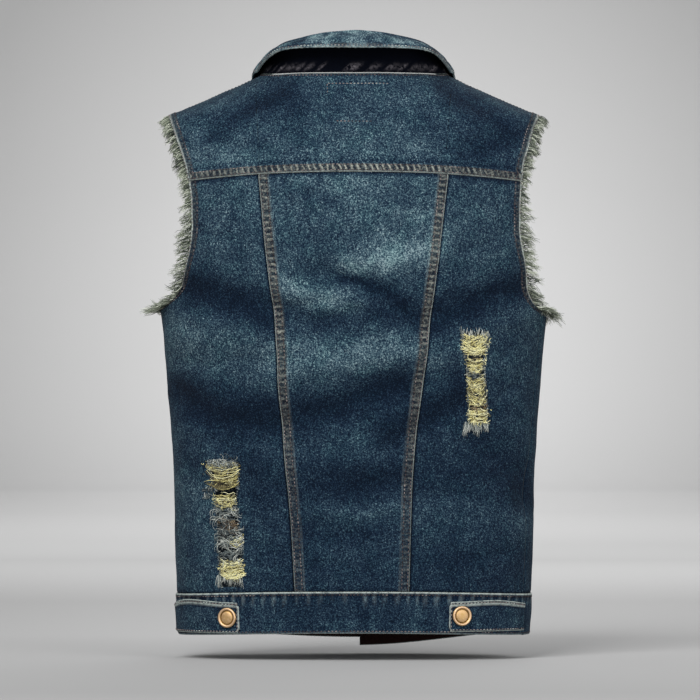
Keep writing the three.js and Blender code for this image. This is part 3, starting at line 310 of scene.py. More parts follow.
# What is left in them: kind of yarn, left x, right x, top z, bottom z, number of yarns and how pale they are.
RIP_YARNS = {
    "left": [
        ("weft", -163, -126, -431, -457, 64, -0.2),
        ("fluff", -163, -127, -428, -458, 210, -0.2),
        ("tuft", -166, -156, -455, -469, 40, 0.05),
        ("weft", -154, -130, -465, -478, 30, 0.05),
        ("fluff", -153, -130, -465, -479, 80, 0.0),
        ("tuft", -157, -124, -478, -493, 110, 0.08),
        ("brown", -152, -127, -491, -503, 50, 0.0),
        ("tuft", -152, -122, -502, -520, 130, 0.1),
        ("weft", -136, -122, -510, -521, 20, 0.0),
        ("tuft", -149, -122, -525, -538, 80, 0.0),
        ("weft", -147, -121, -537, -556, 46, 0.3),
        ("fluff", -147, -122, -536, -557, 190, 0.3),
        ("warp", -150, -122, -552, -569, 90, 0.1),
        ("warp", -162, -127, -433, -423, 60, 0.1),
        ("tuft", -160, -128, -425, -437, 110, 0.1),
    ],
    "right": [
        ("warp", 117, 148, -291, -279, 90, 0.1),
        ("weft", 118, 146, -290, -310, 46, 0.28),
        ("fluff", 118, 146, -289, -311, 210, 0.3),
        ("weft", 123, 142, -315, -330, 22, 0.15),
        ("fluff", 123, 142, -314, -331, 130, 0.15),
        ("tuft", 122, 143, -329, -337, 40, 0.0),
        ("weft", 124, 144, -336, -366, 40, 0.15),
        ("fluff", 124, 144, -337, -366, 240, 0.18),
        ("brown", 127, 147, -363, -374, 24, 0.0),
        ("weft", 126, 148, -372, -385, 30, 0.28),
        ("fluff", 125, 148, -371, -386, 150, 0.28),
        ("warp", 120, 148, -384, -402, 110, 0.12),
    ],
}

# The collar, from centre back (0) to its front end (1). The first row, past centre back, keeps it level.
COLLAR_COLUMNS = ("along", "roll_in", "roll_up", "edge_across", "edge_out", "edge_up")
COLLAR = np.array([
    [-0.2, 5, 37, -12, 18, 25],
    [0, 3, 45.5, 0, 28, 27],
    [0.2, 5, 37, 12, 18, 25],
    [0.35, 12, 26, 6, 8, 9],
    [0.45, 14, 21, 6, 0, -3],
    [0.6, 9, 19, 18, 8, -21],
    [0.8, 5, 18, 22, 14, -42],
    [1, 3, 16, 46, 14, -48],
])
COLLAR_SIDE = 0.45
COLLAR_ROLL = 7
COLLAR_CLEARANCE = 5
COLLAR_GAP = {"back": 0.5, "front": 1.6}
COLLAR_FRONT_GAP = 3
NECK_BACK_DEPTH = 73
NECK_FRONT_DEPTH = 88

TABS = {
    "left": {"end_x": -125.5, "top_z": -583.2, "bottom_z": -616.5, "crown": 3.9, "button": (-137, -599.2)},
    "right": {"end_x": 104, "top_z": -582, "bottom_z": -614.5, "crown": 2, "button": (116.8, -597)},
}
FRONT_BUTTON_Z = (-92, -190, -288, -386, -484, -600)

# How far each row of sewing lies from the edge of its piece, first the outer row.
SEWN_YOKE = (2.0, 8.2)
SEWN_PRINCESS = (2.0, 8.4)
SEWN_ARMHOLE = (1.7, 8.6)
SEWN_SHOULDER = 3.4
SEWN_FRONT = 3.0
SEWN_BAND_TOP = 3.6
SEWN_BAND_FOOT = 2.6
SEWN_EDGE = 2.2

# Loose yarns: the width of a lock, the stations round an armhole and the points along a yarn.
FRINGE_LOCK = 3.8
WARP_LOCK = 3.4
ARMHOLE_STATIONS = 900
FRINGE_POINTS = 6
RIP_POINTS = 7
EDGE_FRAY_COUNT = 260


# Numbers

def column_at(table, key, column):
    """A smooth value of one column of a table, whose first column rises or falls steadily."""
    rows = table if table[0, 0] < table[-1, 0] else table[::-1]
    keys, values = rows[:, 0], rows[:, column]
    slopes = np.empty(len(keys))
    slopes[1:-1] = (values[2:] - values[:-2]) / (keys[2:] - keys[:-2])
    slopes[0] = (values[1] - values[0]) / (keys[1] - keys[0])
    slopes[-1] = (values[-1] - values[-2]) / (keys[-1] - keys[-2])
    key = np.asarray(key, float)
    i = np.clip(np.searchsorted(keys, key, side="right") - 1, 0, len(keys) - 2)
    span = keys[i + 1] - keys[i]
    t = np.clip((key - keys[i]) / span, 0, 1)
    return (
        values[i] * (2 * t**3 - 3 * t**2 + 1) + slopes[i] * span * (t**3 - 2 * t**2 + t)
        + values[i + 1] * (3 * t**2 - 2 * t**3) + slopes[i + 1] * span * (t**3 - t**2)
    )


def noise(points, scale, seed=0):
    """Smooth uneven values from -1 to 1 at points in mm, their bumps about `scale` across."""
    q = np.asarray(points, float) / scale + seed * 17.31
    cell = np.floor(q)
    f = q - cell
    f = f * f * (3 - 2 * f)
    total = 0
    for corner in itertools.product((0, 1), repeat=3):
        value = np.sin((cell + corner) @ np.array([127.1, 311.7, 74.7])) * 43758.5453
        weight = np.prod(np.where(np.array(corner) == 1, f, 1 - f), axis=-1)
        total = total + weight * (value - np.floor(value))
    return 2 * total - 1


def noise_along(length, scale, seed=0):
    """The same along a line, at lengths in mm."""
    length = np.asarray(length, float)
    return noise(np.stack([length, np.zeros_like(length), np.zeros_like(length)], -1), scale, seed)


def smoothstep(value, low, high):
    t = np.clip((value - low) / (high - low), 0, 1)
    return t * t * (3 - 2 * t)


def bell(value, width):
    return np.exp(-((value / width) ** 2))


def unit(vectors):
    return vectors / np.maximum(np.linalg.norm(vectors, axis=-1, keepdims=True), 1e-9)


def mix(a, b, t):
    return a + (b - a) * t


def lengths_along(points, axis=0):
    """The length from the start to each point of a line, or of each line in a grid."""
    gaps = np.linalg.norm(np.diff(points, axis=axis), axis=-1)
    start = np.zeros_like(np.take(gaps, [0], axis=axis))
    return np.concatenate([start, np.cumsum(gaps, axis=axis)], axis=axis)


def evenly(points, spacing=None, count=None):
    """Points at even steps along a line, its extra columns carried with them."""
    length = lengths_along(points[:, :3])
    count = count or max(2, int(length[-1] / spacing) + 1)
    at = np.linspace(0, length[-1], count)
    return np.stack([np.interp(at, length, points[:, k]) for k in range(points.shape[1])], -1)


def shares(length, fine, coarse, edge):
    """Shares from 0 to 1 along a length in mm, with fine steps within `edge` of both ends."""
    ends = np.arange(0, edge, fine)
    middle = np.linspace(edge, length - edge, int((length - 2 * edge) / coarse) + 1)
    return np.concatenate([ends, middle, length - ends[::-1]]) / length


# The torso form

def ring_at(z):
    return [column_at(FORM, z, k) for k in range(1, 5)]


def ring_point(angle, z):
    """A point of the form at an angle from centre back, positive towards the wearer's right."""
    half, back, front, power = ring_at(z)
    s, c = np.sin(angle), np.cos(angle)
    depth = np.where(c > 0, -back, front)
    across = half * np.sign(s) * np.abs(s) ** (2 / power)
    return np.stack([across, depth * np.abs(c) ** (2 / power), z + 0 * s], -1)


def form_level(p):
    """Negative inside the form, zero on it and positive outside."""
    half, back, front, power = ring_at(p[..., 2])
    depth = np.where(p[..., 1] < 0, back, front)
    return np.abs(p[..., 0] / half) ** power + np.abs(p[..., 1] / depth) ** power - 1


def form_slope(p):
    step = 0.4
    ways = step * np.eye(3)
    return np.stack([(form_level(p + way) - form_level(p - way)) / (2 * step) for way in ways], -1)


def yoke_line(angle):
    return YOKE_MID_Z - YOKE_END_DROP * np.sin(angle) ** 2


def form_point(angle, height):
    """The form's point at an angle and height. Above the yoke seam it turns up and over the shoulder."""
    start = ring_point(angle, yoke_line(angle) + np.minimum(height, 0))
    over = height > 0
    if not over.any():
        return start
    foot = start[over]
    turn = height[over] / SHOULDER_REACH * RIGHT_ANGLE
    way = np.stack([0 * turn, np.sign(foot[:, 1]) * np.cos(turn), np.sin(turn)], -1)
    foot = foot * [1, 0, 1]
    near, far = np.zeros(len(turn)), np.full(len(turn), 260.0)
    for _ in range(30):
        middle = (near + far) / 2
        outside = form_level(foot + way * middle[:, None]) > 0
        far = np.where(outside, middle, far)
        near = np.where(outside, near, middle)
    start[over] = foot + way * near[:, None]
    return start


def yoke_turn(across):
    """The angle from the middle at which the yoke line passes a distance across."""
    low, high = np.zeros_like(across), np.full_like(across, RIGHT_ANGLE)
    for _ in range(34):
        middle = (low + high) / 2
        inside = ring_point(middle, yoke_line(middle))[..., 0] < across
        low = np.where(inside, middle, low)
        high = np.where(inside, high, middle)
    return low


def seat(x, z, front=False, side=None):
    """The angle and height of the form's points at x and z, behind or in front. A front's side is 1 or -1."""
    x, z = np.broadcast_arrays(np.asarray(x, float), np.asarray(z, float))
    across = np.abs(x)
    turn = yoke_turn(across)
    half, back, front_depth, power = ring_at(z)
    share = np.maximum(0, 1 - (across / half) ** power) ** (1 / power)
    rise = np.arctan2(z - yoke_line(turn), (front_depth if front else back) * share)
    low_turn = np.arcsin(np.minimum(1, across / half) ** (power / 2))
    over = z > yoke_line(turn)
    height = np.where(over, rise / RIGHT_ANGLE * SHOULDER_REACH, z - yoke_line(low_turn))
    turn = np.where(over, turn, low_turn)
    if not front:
        return np.stack([np.sign(x) * turn, height], -1)
    turn = np.where(np.sign(x) == side, turn, -turn)
    return np.stack([side * (math.pi - turn), height], -1)


def seat_turned(x, turn, front):
    """The seat of points over the shoulder, turned by some degrees from level."""
    x = np.asarray(x, float)
    angle = yoke_turn(np.abs(x))
    height = np.broadcast_to(np.asarray(turn, float) / 90 * SHOULDER_REACH, x.shape)
    return np.stack([np.sign(x) * (math.pi - angle if front else angle), height], -1)


def path_distance(x, z, path):
    best = np.full(x.shape, np.inf)
    for (ax, az), (bx, bz) in zip(path, path[1:]):
        t = ((x - ax) * (bx - ax) + (z - az) * (bz - az)) / ((bx - ax) ** 2 + (bz - az) ** 2)
        t = np.clip(t, 0, 1)
        best = np.minimum(best, np.hypot(x - mix(ax, bx, t), z - mix(az, bz, t)))
    return best


def relief(p):
    """How far folds, creases and small unevenness move the cloth out of the form."""
    x, y, z = np.moveaxis(p, -1, 0)
    behind = y < 0
    calm = smoothstep(np.abs(y), 8, 40)
    high = np.zeros(x.shape)
    for here, tables in ((behind, (BACK_FOLDS, BACK_CREASES)), (~behind, (FRONT_FOLDS, FRONT_CREASES))):
        wander = noise(p[here], 26, 3) * 3
        for height, width, path in itertools.chain(*tables):
            high[here] += height * bell(path_distance(x[here] + wander, z[here] - wander, path), width)
    high *= calm
    return high + 0.55 * noise(p, 34, 1) + 0.3 * noise(p, 15, 2) + 0.12 * noise(p, 7, 5)


# Lines and patches of places

def smooth_line(places):
    """A smooth line through places, by its own length."""
    at = np.array(places, float) * [PER_RADIAN, 1]
    ends = np.vstack([2 * at[0] - at[1], at, 2 * at[-1] - at[-2]])
    t = np.linspace(0, 1, 25)[:, None]
    parts = []
    for a, b, c, d in zip(ends, ends[1:], ends[2:], ends[3:]):
        ab, bc, cd = (math.sqrt(np.linalg.norm(q - p)) for p, q in ((a, b), (b, c), (c, d)))
        start = ((b - a) / ab - (c - a) / (ab + bc) + (c - b) / bc) * bc
        end = ((c - b) / bc - (d - b) / (bc + cd) + (d - c) / cd) * bc
        parts.append(b * (2 * t**3 - 3 * t**2 + 1) + start * (t**3 - 2 * t**2 + t)
                     + c * (3 * t**2 - 2 * t**3) + end * (t**3 - t**2))
    line = np.vstack(parts)
    length = lengths_along(line)
    length = length / length[-1]

    def place(share):
        share = np.clip(share, 0, 1)
        return np.stack([np.interp(share, length, line[:, k]) for k in (0, 1)], -1) / [PER_RADIAN, 1]

    return place


def patch(top, bottom, start, end, across, down):
    """Fills a four-sided patch between its edges, each a line of places for shares from 0 to 1."""
    u, v = across[None, :, None], down[:, None, None]
    t, b = top(across)[None], bottom(across)[None]
    s, e = start(down)[:, None], end(down)[:, None]
    return (
        (1 - v) * t + v * b + (1 - u) * s + u * e - (1 - u) * (1 - v) * t[:, :1] - u * (1 - v) * t[:, -1:]
        - (1 - u) * v * b[:, :1] - u * v * b[:, -1:]
    )


def waist_height(angle):
    return WAIST_MID_Z - WAIST_END_DROP * np.sin(angle) ** 2 - yoke_line(angle)


def waist_edge(angle):
    """The height of the panels' lower edge, half a gap above the waist seam."""
    return waist_height(angle) + SEAM_GAP / 2


def yoke_edge(angle):
    """The height of the back panels' upper edge, half a gap below the yoke seam."""
    return -SEAM_GAP / 2


def side_angle(side, z):
    high, low = SIDE_SEAM[side]
    return np.radians(mix(high, low, (UNDERARM_Z - z) / (UNDERARM_Z - WAIST_MID_Z)))


def underarm(side):
    angle = side_angle(side, UNDERARM_Z)
    return np.array([angle, UNDERARM_Z - yoke_line(angle)])


def row_drop(v, inner):
    return np.where(v <= ARM_SHARE, v / ARM_SHARE * inner, mix(inner, 1, (v - ARM_SHARE) / (1 - ARM_SHARE)))


def armhole_then_side(side, armhole, turn=0.0):
    """The edge that runs round the armhole and on down the side seam."""

    def line(v):
        t = np.clip((v - ARM_SHARE) / (1 - ARM_SHARE), 0, 1)
        angle = mix(side_angle(side, UNDERARM_Z), side_angle(side, WAIST_MID_Z), t)
        height = mix(underarm(side)[1], waist_edge(angle), t)
        below = np.stack([angle + turn * (v > ARM_SHARE), height], -1)
        return np.where((v <= ARM_SHARE)[:, None], armhole(v / ARM_SHARE), below)

    return line


def princess_line(side, turn):
    table = np.array(PRINCESS_SEAM[side], float)[:, ::-1]

    def line(v):
        drop = row_drop(v, BACK_INNER_SHARE)
        z = mix(YOKE_MID_Z, WAIST_MID_Z, drop)
        angle = seat(column_at(table, z, 1), z)[:, 0]
        return np.stack([angle + turn, mix(-SEAM_GAP / 2, waist_edge(angle), drop)], -1)

    return line


def level(start, end, height_of):
    def line(u):
        angle = mix(start, end, u)
        return np.stack([angle, height_of(angle) + 0 * angle], -1)

    return line


# The shares down a back panel, with fine steps at its seams, and the points of a front above the underarm.
PANEL_DOWN = np.concatenate([
    [0, 0.0025], np.linspace(0.005, ARM_SHARE, 88), np.linspace(ARM_SHARE, 1, 140)[1:-1], [0.9975, 1],
])
FRONT_ARM_ROWS = 74


class Cloth:
    """A grid of points in mm, with their normals and their distances from its four edges."""

    def __init__(self, base):
        self.base = self.points = base
        across, down = lengths_along(base, 1), lengths_along(base, 0)
        self.left, self.right = across, across[:, -1:] - across
        self.top, self.bottom = down, down[-1:] - down
        self.sides = np.minimum(self.left, self.right)

    def raise_by(self, rise, outward):
        self.points = self.base + outward * rise[..., None]
        self.face_out(outward)

    def face_out(self, outward):
        slope = np.cross(np.gradient(self.points, axis=1), np.gradient(self.points, axis=0))
        turn = np.sign(np.sum(slope * outward))
        self.normals = unit(slope * turn)

    def line_across(self, distance, start="top"):
        """The line at some distance from the first row, or from the last, with its normals."""
        return self.cut(getattr(self, start), distance, 0)

    def line_down(self, distance, start="left"):
        """The line at some distance from the first column, or from the last, with its normals."""
        return self.cut(getattr(self, start), distance, 1)

    def cut(self, away, distance, axis):
        both = np.concatenate([self.points, self.normals], -1)
        if axis == 0:
            both, away = both.swapaxes(0, 1), away.T
        if away[0, 0] > away[0, -1]:
            both, away = both[:, ::-1], away[:, ::-1]
        return np.array([[np.interp(distance, a, row[:, k]) for k in range(6)] for a, row in zip(away, both)])


def laid(places, lift):
    """A cloth laid on the form at a grid of places, moved out by its folds and by its own lift."""
    cloth = Cloth(form_point(places[..., 0], places[..., 1]))
    cloth.relief = relief(cloth.base)
    cloth.raise_by(cloth.relief + lift(cloth), unit(form_slope(cloth.base)))
    return cloth


def pucker(along, away, pitch=8.0, depth=0.55, reach=8.0, seed=0):
    """The short wrinkles that a row of sewing pulls up, along a seam and away from it."""
    phase = along / pitch + 0.45 * noise_along(along, pitch * 2.3, seed) + away * 0.012
    strength = 0.62 + 0.38 * noise_along(along, pitch * 1.7, seed + 9)
    return depth * strength * np.sin(2 * math.pi * phase) * bell(away, reach)


def felled(away, width=10.0, height=FELL_HEIGHT):
    """The step of a felled seam, highest between its two rows of sewing."""
    dome = 0.25 * np.sin(np.clip(away / width, 0, 1) * math.pi)
    return (height + dome) * (1 - smoothstep(away, width - 0.6, width + 1.2)) - 0.5 * bell(away, 0.5)


def turned_under(*edges):
    """The soft drop of plain edges into their seams."""
    return sum(-0.7 * bell(away, 1.6) for away in edges)


# Puckers and bands that both a piece's shape and its finish follow

def yoke_ropes(c):
    return pucker(c.left, c.top - 5, 8, 0.75, 8, 7)


def princess_ropes(c):
    return pucker(c.top, c.sides - 4, 8.5, 0.5, 8, 1)


def band_gathers(c):
    return pucker(c.left, c.top - 6, 12, 0.7, 16, 30)


def stand_ropes(c):
    return pucker(c.top, c.left - 4, 8, 0.3, 5, 54)


def yoke_gathers(c, seed):
    return pucker(c.left, c.top, 9, 0.5, 9, seed)


def waist_gathers(c, seed):
    return pucker(c.left, c.bottom, 11, 0.7, 12, seed)


def armhole_band(c, away, seed):
    return felled(away, 10, 0.5) + pucker(c.top, away - 5, 7, 0.35, 6, seed)


# Wash fading together with painted light and shade: patches and lines paler where the folds catch the light
# and darker where they fall in shade.
def fading_and_painted_shade(p):
    x, y, z = np.moveaxis(p, -1, 0)
    total = np.zeros(x.shape)
    for here, patches, lines in ((y < 0, BACK_WASH_AND_SHADE_PATCHES, BACK_SHADES), (y >= 0, FRONT_WASH_AND_SHADE_PATCHES, FRONT_SHADES)):
        across, down = x[here] + 8 * noise(p[here], 30, 7), z[here] + 8 * noise(p[here], 30, 8)
        for at_x, at_z, reach_x, reach_z, strength in patches:
            total[here] += strength * bell((across - at_x) / reach_x, 1) * bell((down - at_z) / reach_z, 1)
        across, down = x[here] + 4 * noise(p[here], 18, 9), z[here] + 4 * noise(p[here], 18, 10)
        for strength, width, path in lines:
            total[here] += strength * bell(path_distance(across, down, path), width)
    return total + 0.06 * noise(p, 24, 11) + 0.05 * noise(p, 9, 12)


# Pieces as grids

def back_patch(start, end, across):
    """A back panel between two of its edges, from the yoke seam to the waist seam."""
    first, last = start(BOTH_ENDS)[:, 0], end(BOTH_ENDS)[:, 0]
    top, bottom = level(first[0], last[0], yoke_edge), level(first[1], last[1], waist_edge)
    return patch(top, bottom, start, end, across, PANEL_DOWN)


@functools.lru_cache(None)
def centre_panel():
    start, end = princess_line("left", SEAM_TURN), princess_line("right", -SEAM_TURN)
    places = back_patch(start, end, shares(190, 0.9, 2.3, 13))

    def lift(c):
        bands = felled(c.sides) + princess_ropes(c)
        return bands + turned_under(c.top, c.bottom) + yoke_gathers(c, 2) + waist_gathers(c, 3)

    return laid(places, lift)


@functools.lru_cache(None)
def side_panel(side):
    sign = SIGN[side]
    table = np.array(ARMHOLE_BACK[side], float)[YOKE_ROW:]
    seats = seat(table[:, 0], table[:, 1])
    seats[0, 1] = -SEAM_GAP / 2
    armhole = smooth_line(np.vstack([seats, underarm(side)]))
    start = princess_line(side, sign * SEAM_TURN)
    end = armhole_then_side(side, armhole, -sign * SEAM_TURN)
    places = back_patch(start, end, shares(110, 0.9, 1.6, 12))
    arm = (PANEL_DOWN <= ARM_SHARE)[:, None]

    def lift(c):
        band = np.where(arm, armhole_band(c, c.right, 4), turned_under(c.right))
        return band + turned_under(c.left, c.top, c.bottom) + pucker(c.top, c.left, 8.5, 0.3, 7, 1) \
            + yoke_gathers(c, 5) + waist_gathers(c, 6)

    return laid(places, lift)


def shoulder_turn(x):
    return 90 + SHOULDER_SEAM_FORWARD * (np.abs(x) - NECK_HALF_WIDTH) / (TIP_X - NECK_HALF_WIDTH)


def yoke_x(k, outer):
    n = np.abs(k)
    round_neck = NECK_HALF_WIDTH * np.sin(np.minimum(n / NECK_COLUMNS, 1) * RIGHT_ANGLE)
    return np.sign(k) * np.where(n <= NECK_COLUMNS, round_neck,
                                 mix(NECK_HALF_WIDTH, outer, (n - NECK_COLUMNS) / SHOULDER_COLUMNS))


@functools.lru_cache(None)
def yoke():
    outer = {side: abs(ARMHOLE_BACK[side][YOKE_ROW][0]) for side in SIDES}
    gap = SEAM_GAP / 2

    def column(u):
        return (u * 2 - 1) * YOKE_COLUMNS

    def upper(u):
        k = column(u)
        x = yoke_x(k, TIP_X)
        round_neck = seat(x, NECK_BACK_Z)
        shoulder = seat_turned(x, shoulder_turn(x), False) - [0, gap]
        return np.where((np.abs(k) >= NECK_COLUMNS - 1e-6)[:, None], shoulder, round_neck)

    def lower(u):
        k = column(u)
        x = np.where(k < 0, yoke_x(k, outer["left"]), yoke_x(k, outer["right"]))
        return np.stack([seat_turned(x, 0, False)[:, 0], np.full(len(u), gap)], -1)

    def end(side):
        rows = np.array(ARMHOLE_BACK[side], float)[:YOKE_ROW + 1][::-1]
        seats = seat(rows[:, 0], rows[:, 1])
        seats[0, 1] = gap
        tip = seat_turned([SIGN[side] * TIP_X], shoulder_turn(TIP_X), False) - [0, gap]
        return smooth_line(np.vstack([seats, tip]))

    shoulder = np.linspace(NECK_COLUMNS, YOKE_COLUMNS, 54)
    neck = np.linspace(-NECK_COLUMNS, NECK_COLUMNS, 128)
    k = np.concatenate([-shoulder[::-1], neck[1:], shoulder[1:]])
    places = patch(lower, upper, end("left"), end("right"), (k / YOKE_COLUMNS + 1) / 2,
                   shares(130, 0.9, 2.2, 12))

    def lift(c):
        return felled(c.top) + yoke_ropes(c) + armhole_band(c, c.sides, 8) + turned_under(c.bottom)

    return laid(places, lift)


def neck_front_z(x):
    flat = PLACKET_WIDTH / 2 + 1
    across = np.maximum(0, np.abs(x) - flat) / (NECK_HALF_WIDTH - flat)
    return -NECK_FRONT_DROP * np.maximum(0, 1 - across**2.1) ** (1 / 2.1)


def front_middle(z):
    return FRONT_EDGE_SHIFT * np.maximum(0, -z - NECK_FRONT_DROP) / (-WAIST_MID_Z - NECK_FRONT_DROP)


def front_line(side, past):
    """The line down a front, some way past its middle."""
    sign = SIGN[side]
    top = neck_front_z(past) - SEAM_GAP / 2

    def line(v):
        z = mix(top, WAIST_MID_Z + SEAM_GAP / 2, row_drop(v, FRONT_INNER_SHARE))
        return seat(front_middle(z) + past, z, True, sign)

    return line


def front_neck(side):
    sign = SIGN[side]
    past = PLACKET_WIDTH / 2 + SEAM_GAP / 2
    t = np.linspace(0, 1, 17)[:-1]
    x = sign * NECK_HALF_WIDTH * np.sin(mix(math.asin(past / NECK_HALF_WIDTH), RIGHT_ANGLE, 1 - (1 - t) ** 2))
    last = seat_turned([sign * NECK_HALF_WIDTH], 90, True) - [0, SEAM_GAP / 2]
    return smooth_line(np.vstack([seat(x, neck_front_z(x) - SEAM_GAP / 2, True, sign), last]))


@functools.lru_cache(None)
def front_panel(side):
    sign = SIGN[side]
    start = front_line(side, sign * (PLACKET_WIDTH / 2 + SEAM_GAP / 2))
    neck = front_neck(side)

    def top(u):
        k = u * YOKE_COLUMNS
        x = sign * mix(NECK_HALF_WIDTH, TIP_X, np.maximum(0, k - NECK_COLUMNS) / SHOULDER_COLUMNS)
        shoulder = seat_turned(x, 180 - shoulder_turn(x), True) - [0, SEAM_GAP / 2]
        line = np.where((k <= NECK_COLUMNS + 1e-6)[:, None], neck(k / NECK_COLUMNS), shoulder)
        line[0] = start(ONE_END)[0]
        return line

    table = np.array(ARMHOLE_FRONT, float)
    arm_seats = seat(sign * table[:, 0], table[:, 1], True, sign)
    armhole = smooth_line(np.vstack([top(BOTH_ENDS)[1:], arm_seats, underarm(side)]))
    end = armhole_then_side(side, armhole, sign * SEAM_TURN)
    k = np.concatenate([np.linspace(0, NECK_COLUMNS, 44), np.linspace(NECK_COLUMNS, YOKE_COLUMNS, 30)[1:]])
    down = np.concatenate([np.linspace(0, ARM_SHARE, FRONT_ARM_ROWS), np.linspace(ARM_SHARE, 1, 96)[1:]])
    low = level(start(BOTH_ENDS)[1, 0], end(BOTH_ENDS)[1, 0], waist_edge)
    places = patch(top, low, start, end, k / YOKE_COLUMNS, down)
    arm = (down <= ARM_SHARE)[:, None]

    def lift(c):
        step = -PLACKET_STEP * (1 - smoothstep(c.left, 0, 14)) if side == "right" else 0
        band = np.where(arm, armhole_band(c, c.right, 14), turned_under(c.right))
        return band + step + turned_under(c.top, c.bottom, c.left) + waist_gathers(c, 16)

    return laid(places, lift)


@functools.lru_cache(None)
def placket(side):
    sign = SIGN[side]
    height = FELL_HEIGHT if side == "left" else -PLACKET_STEP
    half = PLACKET_WIDTH / 2
    down = np.linspace(0, 1, 190)
    start = front_line(side, -sign * (half - 0.5))(down)
    end = front_line(side, sign * (half - SEAM_GAP / 2))(down)
    u = shares(PLACKET_WIDTH, 1.2, 2.4, 6)[None, :, None]
    places = start[:, None] * (1 - u) + end[:, None] * u

    def lift(c):
        return height - 0.5 * bell(c.sides, 0.9) + pucker(c.top, c.sides - 3, 9, 0.3, 6, 20)

    return laid(places, lift)


def hem_z(side, x, front):
    spread = np.minimum(1, np.abs(x) / 195)
    back = HEM_BACK_Z - HEM_END_DROP * spread**2
    return mix(back, HEM_FRONT_Z[side], (1 - spread**2) ** 1.5) if front else back


def band_places(angles, hem_of, rows):
    x = ring_point(angles, np.full(len(angles), float(WAIST_MID_Z)))[:, 0]
    top = WAIST_MID_Z - WAIST_END_DROP * np.sin(angles) ** 2 - SEAM_GAP / 2
    v = rows[:, None]
    height = mix(top[None], hem_of(x)[None], v) - yoke_line(angles)[None]
    return np.stack([np.broadcast_to(angles, height.shape), height], -1)


def band_lift(c):
    """The waistband's doubled edges and the gathers that its sewing leaves."""
    edge = np.minimum(c.top, c.bottom)
    gathers = band_gathers(c) + pucker(c.left, c.bottom - 3, 10, 0.35, 8, 31)
    waves = 0.8 * noise_along(c.left, 17, 32) * np.sin(np.clip(c.top / 46, 0, 1) * math.pi)
    edges = 0.35 * bell(c.top - 1.4, 1.5) - 0.7 * bell(edge, 0.6) + turned_under(c.sides)
    return BAND_RAISE + gathers + waves + edges


def tab_angles(side, count):
    seam = side_angle(side, WAIST_MID_Z) - SIGN[side] * SEAM_TURN
    end = seat(TABS[side]["end_x"], TABS[side]["top_z"])[0]
    return mix(seam, end, np.linspace(0, 1, count))


@functools.lru_cache(None)
def band_back():
    left, right = tab_angles("left", 2)[0], tab_angles("right", 2)[0]
    angles = mix(left, right, np.linspace(0, 1, 230))
    return laid(band_places(angles, lambda x: hem_z("left", x, False), shares(46, 0.8, 2.2, 6)), band_lift)


@functools.lru_cache(None)
def band_front(side):
    sign = SIGN[side]
    middle = front_middle(WAIST_MID_Z)
    edge = seat(middle - sign * (PLACKET_WIDTH / 2 - 0.5), WAIST_MID_Z - 20, True, sign)[0]
    seam = side_angle(side, WAIST_MID_Z) + sign * SEAM_TURN
    angles = mix(seam, edge, np.linspace(0, 1, 120))

    def lift(c):
        if side == "left":
            return band_lift(c)
        return band_lift(c) - UNDER_BAND_STEP * (1 - smoothstep(c.base[..., 0], middle + 20, middle + 48))

    return laid(band_places(angles, lambda x: hem_z(side, x, True), shares(50, 1, 2.6, 5)), lift)


@functools.lru_cache(None)
def tab(side):
    size = TABS[side]
    angles = tab_angles(side, 70)
    v = shares(32, 0.7, 1.8, 4)[:, None]
    t = np.linspace(0, 1, 70)
    crown = size["crown"] * (bell(t - 0.52, 0.3) - 1.4 * (1 - t) ** 3)
    height = mix(size["top_z"] + crown, size["bottom_z"], v) - yoke_line(angles)[None]
    places = np.stack([np.broadcast_to(angles, height.shape), height], -1)

    def lift(c):
        edge = np.minimum(np.minimum(c.top, c.bottom), c.right)
        return BAND_RAISE + SEAM_GAP + TAB_WALL + 0.35 * bell(edge - 1.6, 1.3) - 0.6 * bell(edge, 0.5) \
            + pucker(c.left, c.top - 2, 9, 0.3, 6, 41)

    cloth = laid(places, lift)
    round_corners(cloth)
    return cloth


def round_corners(cloth):
    """Draws in a tab's two free corners."""
    for rows in (slice(0, 6), slice(-6, None)):
        points = cloth.points[rows, -7:]
        centre = cloth.points[5 if rows.start == 0 else -6, -7]
        away = points - centre
        corner = np.max(np.linalg.norm(away[:, -1], axis=-1))
        length = np.linalg.norm(away, axis=-1, keepdims=True)
        points[:] = centre + away * np.minimum(1, 0.86 * corner / np.maximum(length, 1e-6))


def smoothed(values, times):
    """Evens out rows along a line, its ends kept."""
    for _ in range(times):
        values = np.concatenate([values[:1], (values[:-2] + 2 * values[1:-1] + values[2:]) / 4, values[-1:]])
    return values


def neck_seam():
    """The line that the collar is sewn to, from the left front's end round the back to the right's.

    It gives the points, which of them are in front, and the way out of the cloth and away from the neck.
    """
    fronts = {}
    for side in SIDES:
        at = front_neck(side)(np.linspace(0, 0.985, 60))
        sign = SIGN[side]
        tip = seat(sign * COLLAR_FRONT_GAP, neck_front_z(0), True, sign)[None]
        fronts[side] = np.vstack([tip, at])
    k = np.linspace(-NECK_COLUMNS, NECK_COLUMNS, 150)
    back = seat(yoke_x(k, TIP_X), NECK_BACK_Z)
    places = np.vstack([fronts["left"], back, fronts["right"][::-1]])
    base = form_point(places[:, 0], places[:, 1])
    at = base + unit(form_slope(base)) * relief(base)[:, None] * 0.6
    in_front = np.ones(len(at), bool)
    in_front[len(fronts["left"]):-len(fronts["right"])] = False
    at = evenly(np.column_stack([smoothed(at, 3), in_front]), count=250)
    at, in_front = at[:, :3], at[:, 3:] > 0.5
    normal = unit(form_slope(at))
    along = np.gradient(at, axis=0)
    out = unit(np.cross(normal, along))
    out = smoothed(out * np.sign(out[:, 2:] + 1e-9), 6)
    return at, in_front, normal, out


